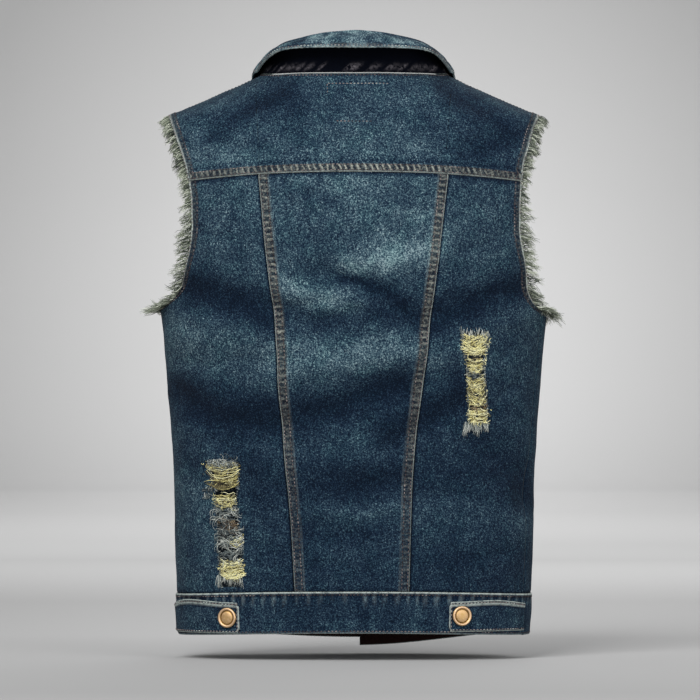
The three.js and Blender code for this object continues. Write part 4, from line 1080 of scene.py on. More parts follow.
@functools.lru_cache(None)
def collar():
    """The collar's grid, a row for each station of the neck seam."""
    at, in_front, normal, out = neck_seam()
    across = np.minimum(1, np.abs(at[:, :1]) / NECK_HALF_WIDTH)
    last = math.acos(COLLAR_FRONT_GAP / NECK_HALF_WIDTH)
    share = np.where(in_front, COLLAR_SIDE + (1 - COLLAR_SIDE) * np.arccos(across) / last,
                     COLLAR_SIDE * np.arcsin(across) / RIGHT_ANGLE)
    share = np.minimum(1, smoothed(share, 4))
    value = {name: column_at(COLLAR, share, i) for i, name in enumerate(COLLAR_COLUMNS)}
    depth = np.where(in_front, NECK_FRONT_DEPTH, NECK_BACK_DEPTH)
    away = unit(np.concatenate([at[:, :1] / NECK_HALF_WIDTH**2, at[:, 1:2] / depth**2, 0 * share], -1))
    gap = np.where(in_front, COLLAR_GAP["front"], COLLAR_GAP["back"])
    foot = at + out * gap - normal * 0.5
    roll = at - away * value["roll_in"] + UP * value["roll_up"]
    rolled = roll + away * COLLAR_ROLL - UP * 1.5
    front_way = smoothed(np.where(in_front, 1.0, -1.0), 4)
    edge = at + np.concatenate([np.sign(at[:, :1]) * value["edge_across"], front_way * value["edge_out"],
                                value["edge_up"]], -1)
    edge = clear_of_form(edge, COLLAR_CLEARANCE)
    section = [foot, mix(foot, roll, 0.3), mix(foot, roll, 0.62), mix(foot, roll, 0.88), roll + UP * 0.6,
               (roll + rolled) / 2 + UP * 1.6, rolled]
    for t in (0.25, 0.5, 0.75):
        bulge = math.sin(t * math.pi)
        fall = mix(rolled, edge, t) + away * 2.6 * bulge + UP * 1.6 * bulge
        section.append(clear_of_form(fall, COLLAR_CLEARANCE))
    section.append(edge)
    cloth = Cloth(np.stack([refine(row) for row in smoothed(np.stack(section, 1), 3)]))
    cloth.face_out(cloth.base)
    if cloth.normals[len(cloth.base) // 2, -8, 2] < 0:
        cloth.normals = -cloth.normals
    uneven = 0.45 * noise(cloth.base, 16, 51) + 0.5 * noise(cloth.base, 30, 52)
    edges = 0.35 * bell(cloth.right - 4, 3) - 0.5 * bell(cloth.right, 0.7)
    ropes = pucker(cloth.top, cloth.right - 3, 6, 0.7, 7, 53) + stand_ropes(cloth)
    cloth.raise_by(uneven + edges + ropes, cloth.normals)
    return cloth


def refine(row, count=40):
    """A smooth line through a row of points, by its own length."""
    length = lengths_along(row)
    length = length / length[-1]
    table = np.column_stack([length, row])
    t = np.linspace(0, 1, count)
    return np.stack([column_at(table, t, k) for k in (1, 2, 3)], -1)


def clear_of_form(points, clearance):
    points = points.copy()
    for _ in range(3):
        slope = form_slope(points)
        steep = np.linalg.norm(slope, axis=-1)
        short = np.maximum(0, clearance - form_level(points) / steep)
        points += slope / steep[:, None] * short[:, None]
    return points


# Meshes

def finish_piece(obj, replaces=()):
    bpy.context.collection.objects.link(obj)
    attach(obj, "root")
    if replaces:
        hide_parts(*replaces)
    return obj


def mesh_of(name, shape):
    """A mesh of what a bmesh holds, which is then freed."""
    mesh = bpy.data.meshes.new(name)
    shape.to_mesh(mesh)
    shape.free()
    return mesh


def add_marks(mesh, marks):
    """Gives a mesh's points the values that its finish reads, each under its own name."""
    for mark, values in marks.items():
        layer = mesh.attributes.new(mark, "FLOAT", "POINT")
        layer.data.foreach_set("value", np.ascontiguousarray(values, dtype=np.float32).ravel())


def cloth_piece(name, node, cloth, marks, materials, wall, opened=None):
    """Makes a piece of cloth that stands for a node."""
    obj = finish_piece(cloth_object(name, cloth, marks, materials, wall, opened), [node])


def cloth_object(name, cloth, marks, materials, wall, opened):
    """A thin shell on a grid of points, its outer side first. Faces that `opened` accepts are left out."""
    rows, columns = cloth.points.shape[:2]
    shape = bmesh.new()
    bmesh.ops.create_grid(shape, x_segments=columns - 1, y_segments=rows - 1, size=1.0)
    mesh = mesh_of(name, shape)
    flat = np.empty(len(mesh.vertices) * 3)
    mesh.vertices.foreach_get("co", flat)
    flat = flat.reshape(-1, 3)
    column = np.rint((flat[:, 0] + 1) / 2 * (columns - 1)).astype(int)
    row = np.rint((flat[:, 1] + 1) / 2 * (rows - 1)).astype(int)
    points = cloth.points[row, column]
    mesh.vertices.foreach_set("co", (points * MM).ravel())
    add_marks(mesh, {mark: values[row, column] for mark, values in marks.items()})
    corners = np.empty(len(mesh.loops), int)
    mesh.loops.foreach_get("vertex_index", corners)
    spread = np.stack([cloth.left, cloth.top], -1)[row, column] * MM
    mesh.uv_layers.new(name="cut").data.foreach_set("uv", spread[corners].ravel())
    mesh.update()
    middle = mesh.polygons[len(mesh.polygons) // 2]
    corner = middle.vertices[0]
    if np.array(middle.normal) @ cloth.normals[row[corner], column[corner]] < 0:
        mesh.flip_normals()
    if opened is not None:
        shape = bmesh.new()
        shape.from_mesh(mesh)
        gone = [f for f in shape.faces if opened(f.calc_center_median() / MM)]
        bmesh.ops.delete(shape, geom=gone, context="FACES")
        shape.to_mesh(mesh)
        shape.free()
    mesh.shade_smooth()
    for material in materials:
        mesh.materials.append(material)
    obj = bpy.data.objects.new(name, mesh)
    shell = obj.modifiers.new("Wall", "SOLIDIFY")
    shell.thickness = wall
    shell.offset = -1
    shell.material_offset = 1
    shell.material_offset_rim = 0
    return obj


def repeated(name, template, points, marks, material):
    """One mesh of many copies of a template's faces, each with its own points."""
    copies, corners = points.shape[:2]
    faces = np.array([list(f.vertices) + [-1] * (4 - len(f.vertices)) for f in template.polygons])
    every = []
    for size in (3, 4):
        kept = faces[(faces >= 0).sum(1) == size][:, :size]
        if len(kept):
            every += (kept[None] + (np.arange(copies) * corners)[:, None, None]).reshape(-1, size).tolist()
    mesh = bpy.data.meshes.new(name)
    mesh.from_pydata((points.reshape(-1, 3) * MM).tolist(), [], every)
    add_marks(mesh, marks)
    mesh.update()
    mesh.shade_smooth()
    mesh.materials.append(material)
    return bpy.data.objects.new(name, mesh)


def stitch_template():
    shape = bmesh.new()
    bmesh.ops.create_uvsphere(shape, u_segments=6, v_segments=3, radius=1.0)
    bmesh.ops.triangulate(shape, faces=[f for f in shape.faces if len(f.verts) > 4])
    return mesh_of("stitch_template", shape)


def stitching(name, lines, sizes, material):
    """Rows of stitches along lines of points and normals, with some lost to wear."""
    template = stitch_template()
    ball = np.array([v.co[:] for v in template.vertices])
    frames = []
    for seed, line in enumerate(lines):
        at = evenly(line, sizes.stitch_pitch / MM / 2)
        centres, before, after = at[1:-1:2], at[:-2:2], at[2::2]
        n = min(len(centres), len(before), len(after))
        along = unit(after[:n, :3] - before[:n, :3])
        normal = unit(centres[:n, 3:])
        aside = np.cross(normal, along)
        kept = noise(centres[:n, :3], 5, seed) > -0.78
        frames.append(np.stack([centres[:n, :3] + normal * 0.12, along, aside, normal], 1)[kept])
    frames = np.concatenate(frames)
    half = np.array([sizes.stitch_length, sizes.thread_width, sizes.thread_width * 0.75]) / MM / 2
    uneven = 1 + 0.18 * noise(frames[:, 0], 3, 5)[:, None, None]
    points = frames[:, None, 0] + np.einsum("vk,nkd->nvd", ball * half, frames[:, 1:]) * uneven
    tone = np.repeat(noise(frames[:, 0], 11, 6)[:, None], len(ball), 1)
    obj = repeated(name, template, points, {"tone": tone}, material)
    bpy.data.meshes.remove(template)
    finish_piece(obj)


def strand_template(rings):
    """A three-sided strand from 0 to 1 along z, its rings in order."""
    shape = bmesh.new()
    bmesh.ops.create_circle(shape, segments=3, radius=1.0, cap_ends=True)
    edges = list(shape.edges)
    for _ in range(rings - 1):
        grown = bmesh.ops.extrude_edge_only(shape, edges=edges)["geom"]
        edges = [g for g in grown if isinstance(g, bmesh.types.BMEdge)]
        bmesh.ops.translate(shape, vec=(0, 0, 1 / (rings - 1)),
                            verts=[g for g in grown if isinstance(g, bmesh.types.BMVert)])
    bmesh.ops.edgeloop_fill(shape, edges=edges)
    bmesh.ops.recalc_face_normals(shape, faces=shape.faces)
    return mesh_of("strand_template", shape)


def strands(name, paths, widths, tones, material, taper, replaces):
    """Thin yarns along paths of points, each with its own width and tone."""
    count, rings = paths.shape[:2]
    template = strand_template(rings)
    corner = np.array([v.co[:] for v in template.vertices])
    ring = np.rint(corner[:, 2] * (rings - 1)).astype(int)
    along = unit(np.gradient(paths, axis=1))
    side = unit(np.cross(along, np.array([0.31, -0.82, 0.48])))
    other = np.cross(along, side)
    t = ring / (rings - 1)
    width = widths[:, None] * (1 - (1 - taper) * t**2)[None] / 2
    round_path = side[:, ring] * corner[:, :1] + other[:, ring] * corner[:, 1:2]
    points = paths[:, ring] + round_path * width[..., None]
    marks = {"tone": np.repeat(tones[:, None], len(corner), 1), "tip": np.repeat(t[None], count, 0)}
    obj = repeated(name, template, points, marks, material)
    bpy.data.meshes.remove(template)
    finish_piece(obj, replaces)


# Finishes

# The denim's ribs: metres from one to the next, and their turn from the warp in radians.
TWILL_PITCH = 0.0011
TWILL_TURN = 1.08


class Finish:
    """A procedural finish, put together node by node."""

    def __init__(self, name, **settings):
        self.material = bpy.data.materials.new(name)
        self.material.use_nodes = True
        self.nodes = self.material.node_tree.nodes
        self.links = self.material.node_tree.links
        self.nodes.clear()
        self.shader = self.nodes.new("ShaderNodeBsdfPrincipled")
        out = self.nodes.new("ShaderNodeOutputMaterial")
        self.links.new(self.shader.outputs[0], out.inputs["Surface"])
        self.place = self.nodes.new("ShaderNodeTexCoord")
        for key, value in settings.items():
            self.shader.inputs[key.replace("_", " ")].default_value = value

    def put(self, socket, value):
        if isinstance(value, bpy.types.NodeSocket):
            self.links.new(value, socket)
        else:
            socket.default_value = value

    def attribute(self, name):
        node = self.nodes.new("ShaderNodeAttribute")
        node.attribute_name = name
        return node.outputs["Fac"]

    def noise(self, scale, detail=2.0, roughness=0.5, stretch=None, on="Object"):
        node = self.nodes.new("ShaderNodeTexNoise")
        node.inputs["Scale"].default_value = scale
        node.inputs["Detail"].default_value = detail
        node.inputs["Roughness"].default_value = roughness
        source = self.place.outputs[on]
        if stretch:
            turn = self.nodes.new("ShaderNodeMapping")
            turn.inputs["Scale"].default_value = stretch
            self.links.new(source, turn.inputs["Vector"])
            source = turn.outputs["Vector"]
        self.links.new(source, node.inputs["Vector"])
        return node.outputs["Fac"]

    def twill(self, pitch, turn):
        """Slanting ribs over the cut's own UV map, `pitch` metres apart."""
        lay = self.nodes.new("ShaderNodeMapping")
        lay.inputs["Rotation"].default_value = (0, 0, turn)
        self.links.new(self.place.outputs["UV"], lay.inputs["Vector"])
        wave = self.nodes.new("ShaderNodeTexWave")
        wave.inputs["Scale"].default_value = 0.314 / pitch
        wave.inputs["Distortion"].default_value = 1.2
        wave.inputs["Detail"].default_value = 1.0
        self.links.new(lay.outputs["Vector"], wave.inputs["Vector"])
        return wave.outputs["Fac"]

    def math(self, operation, a, b=0.0, clamp=False):
        node = self.nodes.new("ShaderNodeMath")
        node.operation = operation
        node.use_clamp = clamp
        self.put(node.inputs[0], a)
        self.put(node.inputs[1], b)
        return node.outputs[0]

    def add_up(self, *terms):
        """The sum of (value, weight) pairs."""
        total = 0.0
        for value, weight in terms:
            total = self.math("ADD", total, self.math("MULTIPLY", value, weight))
        return total

    def blend(self, factor, a, b):
        node = self.nodes.new("ShaderNodeMix")
        node.data_type = "RGBA"
        self.put(node.inputs["Factor"], factor)
        self.put(node.inputs[6], a)
        self.put(node.inputs[7], b)
        return node.outputs[2]

    def vector(self, operation, value, other=(0, 0, 0)):
        node = self.nodes.new("ShaderNodeVectorMath")
        node.operation = operation
        self.links.new(value, node.inputs[0])
        node.inputs[1].default_value = other
        return node.outputs["Value" if operation == "LENGTH" else "Vector"]

    def ramp(self, value, stops):
        node = self.nodes.new("ShaderNodeValToRGB")
        ramp = node.color_ramp
        while len(ramp.elements) < len(stops):
            ramp.elements.new(0.5)
        for element, (at, colour) in zip(ramp.elements, stops):
            element.position = at
            element.color = (*colour, 1)
        self.put(node.inputs[0], value)
        return node.outputs[0]

    def stretched(self, value, low, high):
        node = self.nodes.new("ShaderNodeMapRange")
        node.inputs["From Min"].default_value = low
        node.inputs["From Max"].default_value = high
        self.put(node.inputs["Value"], value)
        return node.outputs["Result"]

    def bump(self, height, distance, strength=1.0):
        node = self.nodes.new("ShaderNodeBump")
        node.inputs["Strength"].default_value = strength
        node.inputs["Distance"].default_value = distance
        self.put(node.inputs["Height"], height)
        self.links.new(node.outputs[0], self.shader.inputs["Normal"])

    def colour(self, value):
        self.put(self.shader.inputs["Base Color"], value)


def denim_finish(name, colours):
    """Washed twill: dark and pale yarns mixed grain by grain, faded and given painted light and shade on the
    folds, and worn on the edges.
    """
    f = Finish(name, Roughness=0.9, Sheen_Weight=0.02, Sheen_Roughness=0.6, Specular_IOR_Level=0.03)
    fade, wear, tape = f.attribute("fade"), f.attribute("wear"), f.attribute("tape")
    grain = f.stretched(f.noise(560, 2, 0.7), 0.36, 0.64)
    speck = f.stretched(f.noise(950, 1, 0.5), 0.34, 0.66)
    slub = f.stretched(f.noise(300, 2, 0.6, stretch=(2.4, 1, 0.4)), 0.35, 0.65)
    cloud = f.noise(70, 3, 0.65)
    tint = f.noise(45, 2, 0.6)
    warp = f.twill(TWILL_PITCH, TWILL_TURN)
    wave = f.math("SINE", f.add_up((f.attribute("along"), 0.93), (f.noise(75, 2, 0.6), 6.0)))
    ribs = f.attribute("ribs")
    rough_wave = f.math("ADD", wave, f.math("MULTIPLY", grain, 0.5))
    rib = f.math("MULTIPLY", ribs, f.stretched(rough_wave, 0.45, 1.4))
    tone = f.add_up((fade, 1.0), (grain, 0.48), (speck, 0.42), (slub, 0.14), (cloud, 0.30), (warp, 0.05),
                    (rib, 0.35), (ribs, -0.12), (1.0, -0.265))
    dark, middle, light = (tuple(c) for c in (colours.denim_dark, colours.denim_middle, colours.denim_light))
    cloth = f.ramp(tone, [(0.0, tuple(0.5 * c for c in dark)), (0.22, dark), (0.50, middle), (0.76, light),
                          (1.0, tuple(colours.denim_pale))])
    green = f.math("MULTIPLY", f.stretched(tint, 0.45, 0.65), 0.35, True)
    cloth = f.blend(green, cloth, f.vector("MULTIPLY", cloth, (0.78, 1.06, 0.98)))
    taped = f.blend(f.math("MULTIPLY", tape, 0.72, True), cloth, (*colours.seam_tape, 1))
    flecks = f.math("ADD", f.math("MULTIPLY", f.stretched(f.noise(420, 2, 0.7), 0.50, 0.66), 0.35), rib)
    flecked = f.math("MULTIPLY", f.math("MULTIPLY", tape, flecks), f.stretched(grain, -0.6, 0.8), True)
    taped = f.blend(flecked, taped, (*colours.seam_fleck, 1))
    rub = f.math("MULTIPLY", wear, f.stretched(f.noise(260, 3, 0.7), 0.24, 0.52), True)
    f.colour(f.blend(rub, taped, (*colours.worn_edge, 1)))
    f.bump(f.add_up((grain, 0.5), (speck, 0.35), (warp, 0.3), (slub, 0.3)), 0.0006, 0.7)
    return f.material


def reverse_finish(name, pale):
    """The reverse of a cloth, its yarns mixed grain by grain and its creases rubbed."""
    f = Finish(name, Roughness=0.92, Specular_IOR_Level=0.05)
    warp = f.twill(TWILL_PITCH, -TWILL_TURN)
    tone = f.add_up((f.noise(700, 3, 0.7), 0.9), (f.noise(70, 2, 0.5), 0.3), (warp, 0.2), (1.0, -0.25))
    dark, palest = tuple(0.3 * c for c in pale), tuple(min(1, 1.6 * c) for c in pale)
    cloth = f.ramp(tone, [(0.0, dark), (0.6, pale), (1.0, palest)])
    rub = f.math("MULTIPLY", f.attribute("rubbed"), f.stretched(f.noise(300, 2, 0.7), 0.35, 0.6), True)
    f.colour(f.blend(f.math("MULTIPLY", rub, 0.8), cloth, (0.20, 0.185, 0.205, 1)))
    f.bump(f.noise(700, 2, 0.6), 0.0003, 0.5)
    return f.material


def thread_finish(name, worn, full):
    """Sewing thread, twisted and rubbed pale in places."""
    f = Finish(name, Roughness=0.85, Specular_IOR_Level=0.1)
    tone = f.add_up((f.attribute("tone"), 0.6), (f.noise(420, 2, 0.6), 0.9))
    f.colour(f.ramp(tone, [(0.1, tuple(0.5 * c for c in full)), (0.42, full), (0.85, worn)]))
    f.bump(f.noise(2500, 1, 0.5), 0.0001, 0.5)
    return f.material


def yarn_finish(name, stops, root=0.25):
    """Loose yarn: one tone for each strand, darker at its root with painted shade and mottled along its
    length.
    """
    f = Finish(name, Roughness=0.92, Sheen_Weight=0.2, Sheen_Roughness=0.5, Specular_IOR_Level=0.15)
    tone = f.add_up((f.attribute("tone"), 0.75), (f.attribute("tip"), root), (f.noise(500, 2, 0.6), 0.35),
                    (1.0, -0.05 - root / 2))
    f.colour(f.ramp(tone, stops))
    f.bump(f.noise(1800, 1, 0.5), 0.0002, 0.5)
    return f.material


def brass_finish(name, colours):
    """Antique brass: bright where it is rubbed, brown in its groove."""
    f = Finish(name, Metallic=1.0)
    rub = f.attribute("rub")
    stain = f.noise(420, 3, 0.6)
    tone = f.add_up((rub, 0.75), (stain, 0.5))
    f.colour(f.ramp(tone, [(0.2, tuple(colours.brass_dark)), (0.55, tuple(colours.brass)),
                           (1.0, tuple(colours.brass_bright))]))
    f.put(f.shader.inputs["Roughness"], f.add_up((stain, 0.25), (rub, -0.06), (1.0, 0.46)))
    f.bump(f.noise(900, 2, 0.6), 0.0002, 0.35)
    return f.material


# Settings

def colour(name, value, text):
    return FloatVectorProperty(name=name, description=text, default=value, min=0, max=1, subtype="COLOR")


def distance(name, value, text):
    return FloatProperty(name=name, description=text, default=value, min=0, subtype="DISTANCE", unit="LENGTH")


def power(name, value, text):
    return FloatProperty(name=name, description=text, default=value, min=0, unit="POWER")


class VestSizes(bpy.types.PropertyGroup):
    """Sizes of the cloth, its sewing and its loose yarns."""

    wall: distance("Denim thickness", 0.0012, "Thickness of one layer of denim")
    band_wall: distance("Doubled thickness", 0.0018, "Thickness of the waistband, tabs, plackets and collar")
    stitch_pitch: distance("Stitch pitch", 0.0040, "Distance from one stitch to the next")
    stitch_length: distance("Stitch length", 0.0030, "Length of thread that shows in one stitch")
    thread_width: distance("Thread width", 0.0012, "Width of the topstitching thread")
    fringe_length: distance("Fringe length", 0.017, "Mean length of the frayed yarns at the armholes")
    fringe_yarn: distance("Fringe yarn width", 0.0008, "Width of one frayed yarn")
    fringe_count: IntProperty(name="Fringe yarns", description="Yarns on one armhole", default=2300, min=10)
    weft_width: distance("Weft width", 0.0009, "Width of one loose weft yarn in a rip")


class VestColours(bpy.types.PropertyGroup):
    """Colours of the denim, its thread and yarns, and the buttons."""

    denim_dark: colour("Dark denim", (0.0056, 0.0138, 0.0310), "Unfaded yarn")
    denim_middle: colour("Middle denim", (0.0190, 0.0400, 0.0640), "Washed yarn")
    denim_light: colour("Light denim", (0.068, 0.122, 0.152), "Faded yarn")
    denim_pale: colour("Pale denim", (0.24, 0.33, 0.35), "Yarn worn almost white")
    denim_reverse: colour("Reverse", (0.10, 0.135, 0.17), "Reverse side of the denim")
    # Near-black painted shade for the collar's reverse, which lies in shade under the fall.
    collar_under: colour("Under collar", (0.0014, 0.0022, 0.0055), "Unfaded denim under the collar's fall")
    hem_facing: colour("Hem facing", (0.045, 0.022, 0.020), "Reddish brown facing inside the fronts' band")
    seam_tape: colour("Seam tape", (0.012, 0.014, 0.019), "Doubled cloth between two rows of sewing")
    seam_fleck: colour("Seam flecks", (0.34, 0.35, 0.30), "Flecks worn through the doubled cloth")
    worn_edge: colour("Worn edge", (0.50, 0.56, 0.52), "Folded edges, worn pale")
    thread: colour("Thread", (0.066, 0.048, 0.050), "Reddish brown topstitching")
    thread_worn: colour("Worn thread", (0.28, 0.24, 0.23), "Topstitching where it is rubbed")
    brass: colour("Brass", (0.50, 0.315, 0.105), "Antique brass")
    brass_dark: colour("Dark brass", (0.045, 0.02, 0.01), "Brass in the groove")
    brass_bright: colour("Bright brass", (0.78, 0.55, 0.36), "Brass where it is rubbed")


class StageSettings(bpy.types.PropertyGroup):
    """The backdrop, lights and camera."""

    floor_z: FloatProperty(name="Floor", description="Height of the floor", default=-0.646, unit="LENGTH")
    backdrop: colour("Backdrop", (0.87, 0.87, 0.87), "Middle of the backdrop")
    # The painted falloff of light that the backdrop takes towards its corners.
    backdrop_painted_falloff: colour("Backdrop edge", (0.42, 0.42, 0.42), "Corners of the backdrop")
    # The painted shade of the floor where the lights are strongest.
    floor_front: colour("Floor shade", (0.30, 0.30, 0.30), "Floor where the lights are strongest")
    camera_distance: distance("Camera distance", 8.0, "From the back of the vest to the camera")
    view_width: distance("View width", 0.770, "Width that the photograph takes in at the vest")
    key_power: power("Key light", 150, "Power of the main light")
    fill_power: power("Fill light", 60, "Power of the fill light")
    front_power: power("Front light", 40, "Power of the light on the vest's fronts")
    wall_power: power("Wall light", 330, "Power of the light on the backdrop")


def settings():
    scene = bpy.context.scene
    return scene.vest_sizes, scene.vest_colours


def finish_named(name, make, *given):
    """A finish that several pieces share, made once."""
    return bpy.data.materials.get(name) or make(name, *given)


def denim_pair(colours):
    return [finish_named("washed_denim", denim_finish, colours),
            finish_named("denim_reverse", reverse_finish, tuple(colours.denim_reverse))]


def marks_of(cloth, wear, tape=0.0, shade=0.0, ribs=0.0, along=0.0):
    """The attributes that a denim piece's finish reads."""
    # The fading tables' wash fading and painted light and shade, fold crests paler and troughs darker with
    # the relief (worn fading and painted shade both), and the piece's own painted shade and highlights.
    fade = fading_and_painted_shade(cloth.base) + 0.022 * np.clip(cloth.relief, -6, 6) + shade
    marks = {"wear": np.clip(wear, 0, 1), "tape": np.clip(tape, 0, 1), "ribs": ribs, "along": along}
    return {"fade": fade, **{name: values + 0 * fade for name, values in marks.items()}}


def band_mark(away, width=10.0):
    return 1 - smoothstep(away, width - 0.8, width + 0.8)


def crest(height):
    return smoothstep(height, 0.12, 0.5)


def worn_edge(away):
    """The pale line where an armhole's edge is rubbed, a little inside it."""
    return bell(away - 1.5, 1.0)


def armhole_away(c):
    """The distance from the armhole, far off below the underarm."""
    return np.where(c.base[..., 2] > UNDERARM_Z - 4, c.right, FAR)


# Operators

class BackPanels(bpy.types.Operator):
    """Builds the back yoke, the centre panel and the two ripped side panels."""

    bl_idname = "vest.back_panels"
    bl_label = "Back panels"

    def execute(self, context):
        sizes, colours = settings()
        pair = denim_pair(colours)
        c = yoke()
        cloth_piece("back_yoke_cloth", "back_yoke", c, self.yoke_marks(c), pair, sizes.wall)
        c = centre_panel()
        cloth_piece("back_centre_cloth", "back_centre_panel", c, self.centre_marks(c),
                    pair, sizes.wall)
        for side in SIDES:
            c = side_panel(side)
            cloth_piece(f"back_side_cloth_{side}", f"back_side_panel_{side}", c,
                        self.side_marks(c), pair, sizes.wall, opened=in_rip(side))
        return {"FINISHED"}

    def yoke_marks(self, c):
        band, arm_band = band_mark(c.top, 9), band_mark(c.sides)
        ropes = crest(yoke_ropes(c))
        middle = 0.35 + 0.65 * bell(c.base[..., 0] - 5, 95)
        wear = bell(c.top, 0.8) + 0.2 * middle * ropes * band + worn_edge(c.sides) + 0.8 * bell(c.bottom, 0.9)
        # Painted highlight on the pucker crests above the seam, a darker line just above the seam band and
        # painted shadow under the neck seam.
        shade = 0.12 * middle * ropes * bell(c.top - 10, 9) - 0.14 * bell(c.top - 12, 2.4) \
            - 0.35 * bell(c.bottom - 2.6, 1.4)
        ribs = 1.05 * middle * band * smoothstep(c.top, 1.6, 2.8) + 0.15 * arm_band \
            + 0.5 * middle * bell(c.top - 11, 6) * (c.top > 9)
        along = np.where(c.top < 22, c.left, c.top)
        return marks_of(c, wear, np.maximum(band, 0.6 * arm_band), shade, ribs, along)

    def centre_marks(self, c):
        edge, band = c.sides, band_mark(c.sides)
        low = smoothstep(c.top, 230, 400)
        wear = (0.95 - 0.45 * low) * bell(edge, 0.7) + 0.15 * crest(princess_ropes(c)) * band \
            + 0.12 * bell(edge - 10.8, 0.6)
        # Painted shadow along the top, under the yoke's edge, and darker along the waist seam.
        shade = -0.4 * bell(c.top, 2.6) - 0.1 * bell(c.bottom, 3)
        ribs = band * smoothstep(edge, 1.6, 2.8) * (0.2 + 0.45 * bell(c.top - 100, 110)) \
            * (0.8 + 0.5 * noise_along(c.top, 22, 19))
        return marks_of(c, wear, (1 - 0.55 * low) * band, shade, ribs, c.top)

    def side_marks(self, c):
        arm = armhole_away(c)
        seam = np.where(c.base[..., 2] > UNDERARM_Z, FAR, c.right)
        band = band_mark(arm)
        # Painted shadow under the yoke's edge and beside the centre panel's lapped edge, and darker along the
        # waist seam and the armhole band.
        shade = -0.4 * bell(c.top, 3) - 0.5 * bell(c.left, 1.4) - 0.1 * bell(c.bottom, 3) - 0.1 * band
        return marks_of(c, worn_edge(arm) + 0.15 * bell(seam, 0.9), 0.6 * band, shade, 0.12 * band, c.top)


def in_rip(side):
    """Whether a point lies in a rip, its edge a little ragged."""
    rows = RIPS[side][::-1]

    def test(at):
        x, z = at[0], at[2]
        if at[1] > 0 or not rows[0, 0] < z < rows[-1, 0]:
            return False
        left, right = (float(np.interp(z, rows[:, 0], rows[:, k])) for k in (1, 2))
        ragged = 1.2 * float(noise(np.array([x * 0, z, 0]), 4, 3))
        return left + ragged < x < right + ragged

    return test


class FrontPanels(bpy.types.Operator):
    """Builds the two front panels and the plackets that they button over."""

    bl_idname = "vest.front_panels"
    bl_label = "Front panels"

    def execute(self, context):
        sizes, colours = settings()
        pair = denim_pair(colours)
        for side in SIDES:
            c = front_panel(side)
            arm = armhole_away(c)
            wear = 0.8 * bell(arm, 0.9) + 0.25 * bell(c.left, 1.4)
            marks = marks_of(c, wear, band_mark(arm), -0.15 * bell(c.bottom, 3), 0.25 * band_mark(arm), c.top)
            cloth_piece(f"front_cloth_{side}", f"front_panel_{side}", c, marks, pair,
                        sizes.wall)
            c = placket(side)
            marks = marks_of(c, 0.6 * bell(c.sides, 0.9), 0, 0.02)
            cloth_piece(f"front_placket_cloth_{side}", f"front_placket_{side}", c, marks,
                        pair, sizes.wall)
        return {"FINISHED"}


class Waistband(bpy.types.Operator):
    """Builds the waistband's three lengths and its two tabs."""

    bl_idname = "vest.waistband"
    bl_label = "Waistband and tabs"

    def execute(self, context):
        sizes, colours = settings()
        pair = denim_pair(colours)
        facing = finish_named("hem_facing", reverse_finish, tuple(colours.hem_facing))
        bands = [("waistband_back", band_back(), "waistband_back")]
        bands += [(f"waistband_front_{side}", band_front(side), "waistband_front") for side in SIDES]
        for node, c, cut in bands:
            gathers = crest(band_gathers(c))
            wear = 0.85 * bell(c.top - 0.8, 0.9) + 0.55 * bell(c.bottom, 1.0) \
                + 0.1 * gathers * bell(c.top - 7, 8)
            # Painted highlight on the gathers' crests and painted shadow under the band's top edge, over a
            # darker band and a random tone.
            shade = -0.09 + 0.2 * gathers * bell(c.top - 8, 12) - 0.3 * bell(c.top - 3.8, 1.7) \
                + 0.07 * noise_along(c.left, 14, 33)
            lining = pair if node == "waistband_back" else [pair[0], facing]
            cloth_piece(f"{node}_cloth", node, c, marks_of(c, wear, 0.0, shade), lining, sizes.band_wall)
        for side in SIDES:
            c = tab(side)
            edge = np.minimum(np.minimum(c.top, c.bottom), c.right)
            wear = bell(edge, 0.9) + 0.75 * bell(c.top - 3.6, 0.9)
            # Painted shade in the groove inside the tab's edge and in a line below its top, with a random
            # tone.
            shade = -0.07 - 0.4 * bell(edge - 2.0, 0.9) - 0.25 * bell(c.top - 6, 1.4) \
                + 0.1 * noise_along(c.left, 13, 34)
            cloth_piece(f"waist_tab_cloth_{side}", f"waist_tab_{side}", c,
                        marks_of(c, wear, 0.0, shade), pair, sizes.wall)
        return {"FINISHED"}


class Collar(bpy.types.Operator):
    """Builds the collar with its stand, roll and fall."""

    bl_idname = "vest.collar"
    bl_label = "Collar"

    def execute(self, context):
        sizes, colours = settings()
        c = collar()
        ends = np.minimum(c.top, c.bottom)
        edge = np.minimum(c.right, np.where(c.left > 40, ends, FAR))
        roped = 0.8 + 0.5 * noise_along(c.top, 4, 58)
        wear = roped * (1.15 * bell(edge - 0.5, 0.6) + 0.25 * bell(edge - 4.6, 0.5)) \
            + 0.35 * bell(c.left, 1.2) + 0.4 * crest(stand_ropes(c) * 1.6) * bell(c.left - 5, 3)
        # Random tone, with painted shade in the stitched groove inside the edge.
        fade = 0.20 + 0.30 * noise(c.base, 15, 61) + 0.26 * noise(c.base, 6, 62) - 0.3 * bell(edge - 4.2, 1.3)
        on_fall = smoothstep(c.left, 38, 50)
        # Painted shade on the stand, under the collar's fall.
        under = -0.05 - 0.1 * smoothstep(c.left, 5, 11)
        dashes = smoothstep(noise_along(c.top, 5, 57), -0.1, 0.5) * bell(c.left - 6, 3.2)
        marks = {"fade": mix(under, fade, on_fall), "wear": np.clip(wear, 0, 1),
                 "tape": 0.6 * band_mark(c.left, 8), "rubbed": np.clip(dashes, 0, 1), "ribs": 0 * fade,
                 "along": 0 * fade}
        # The collar's reverse takes the near-black painted shade.
        collar_reverse_painted_shade = finish_named("collar_under", reverse_finish, tuple(colours.collar_under))
        pair = [denim_pair(colours)[0], collar_reverse_painted_shade]
        cloth_piece("collar_cloth", "collar", c, marks, pair, sizes.band_wall)
        return {"FINISHED"}


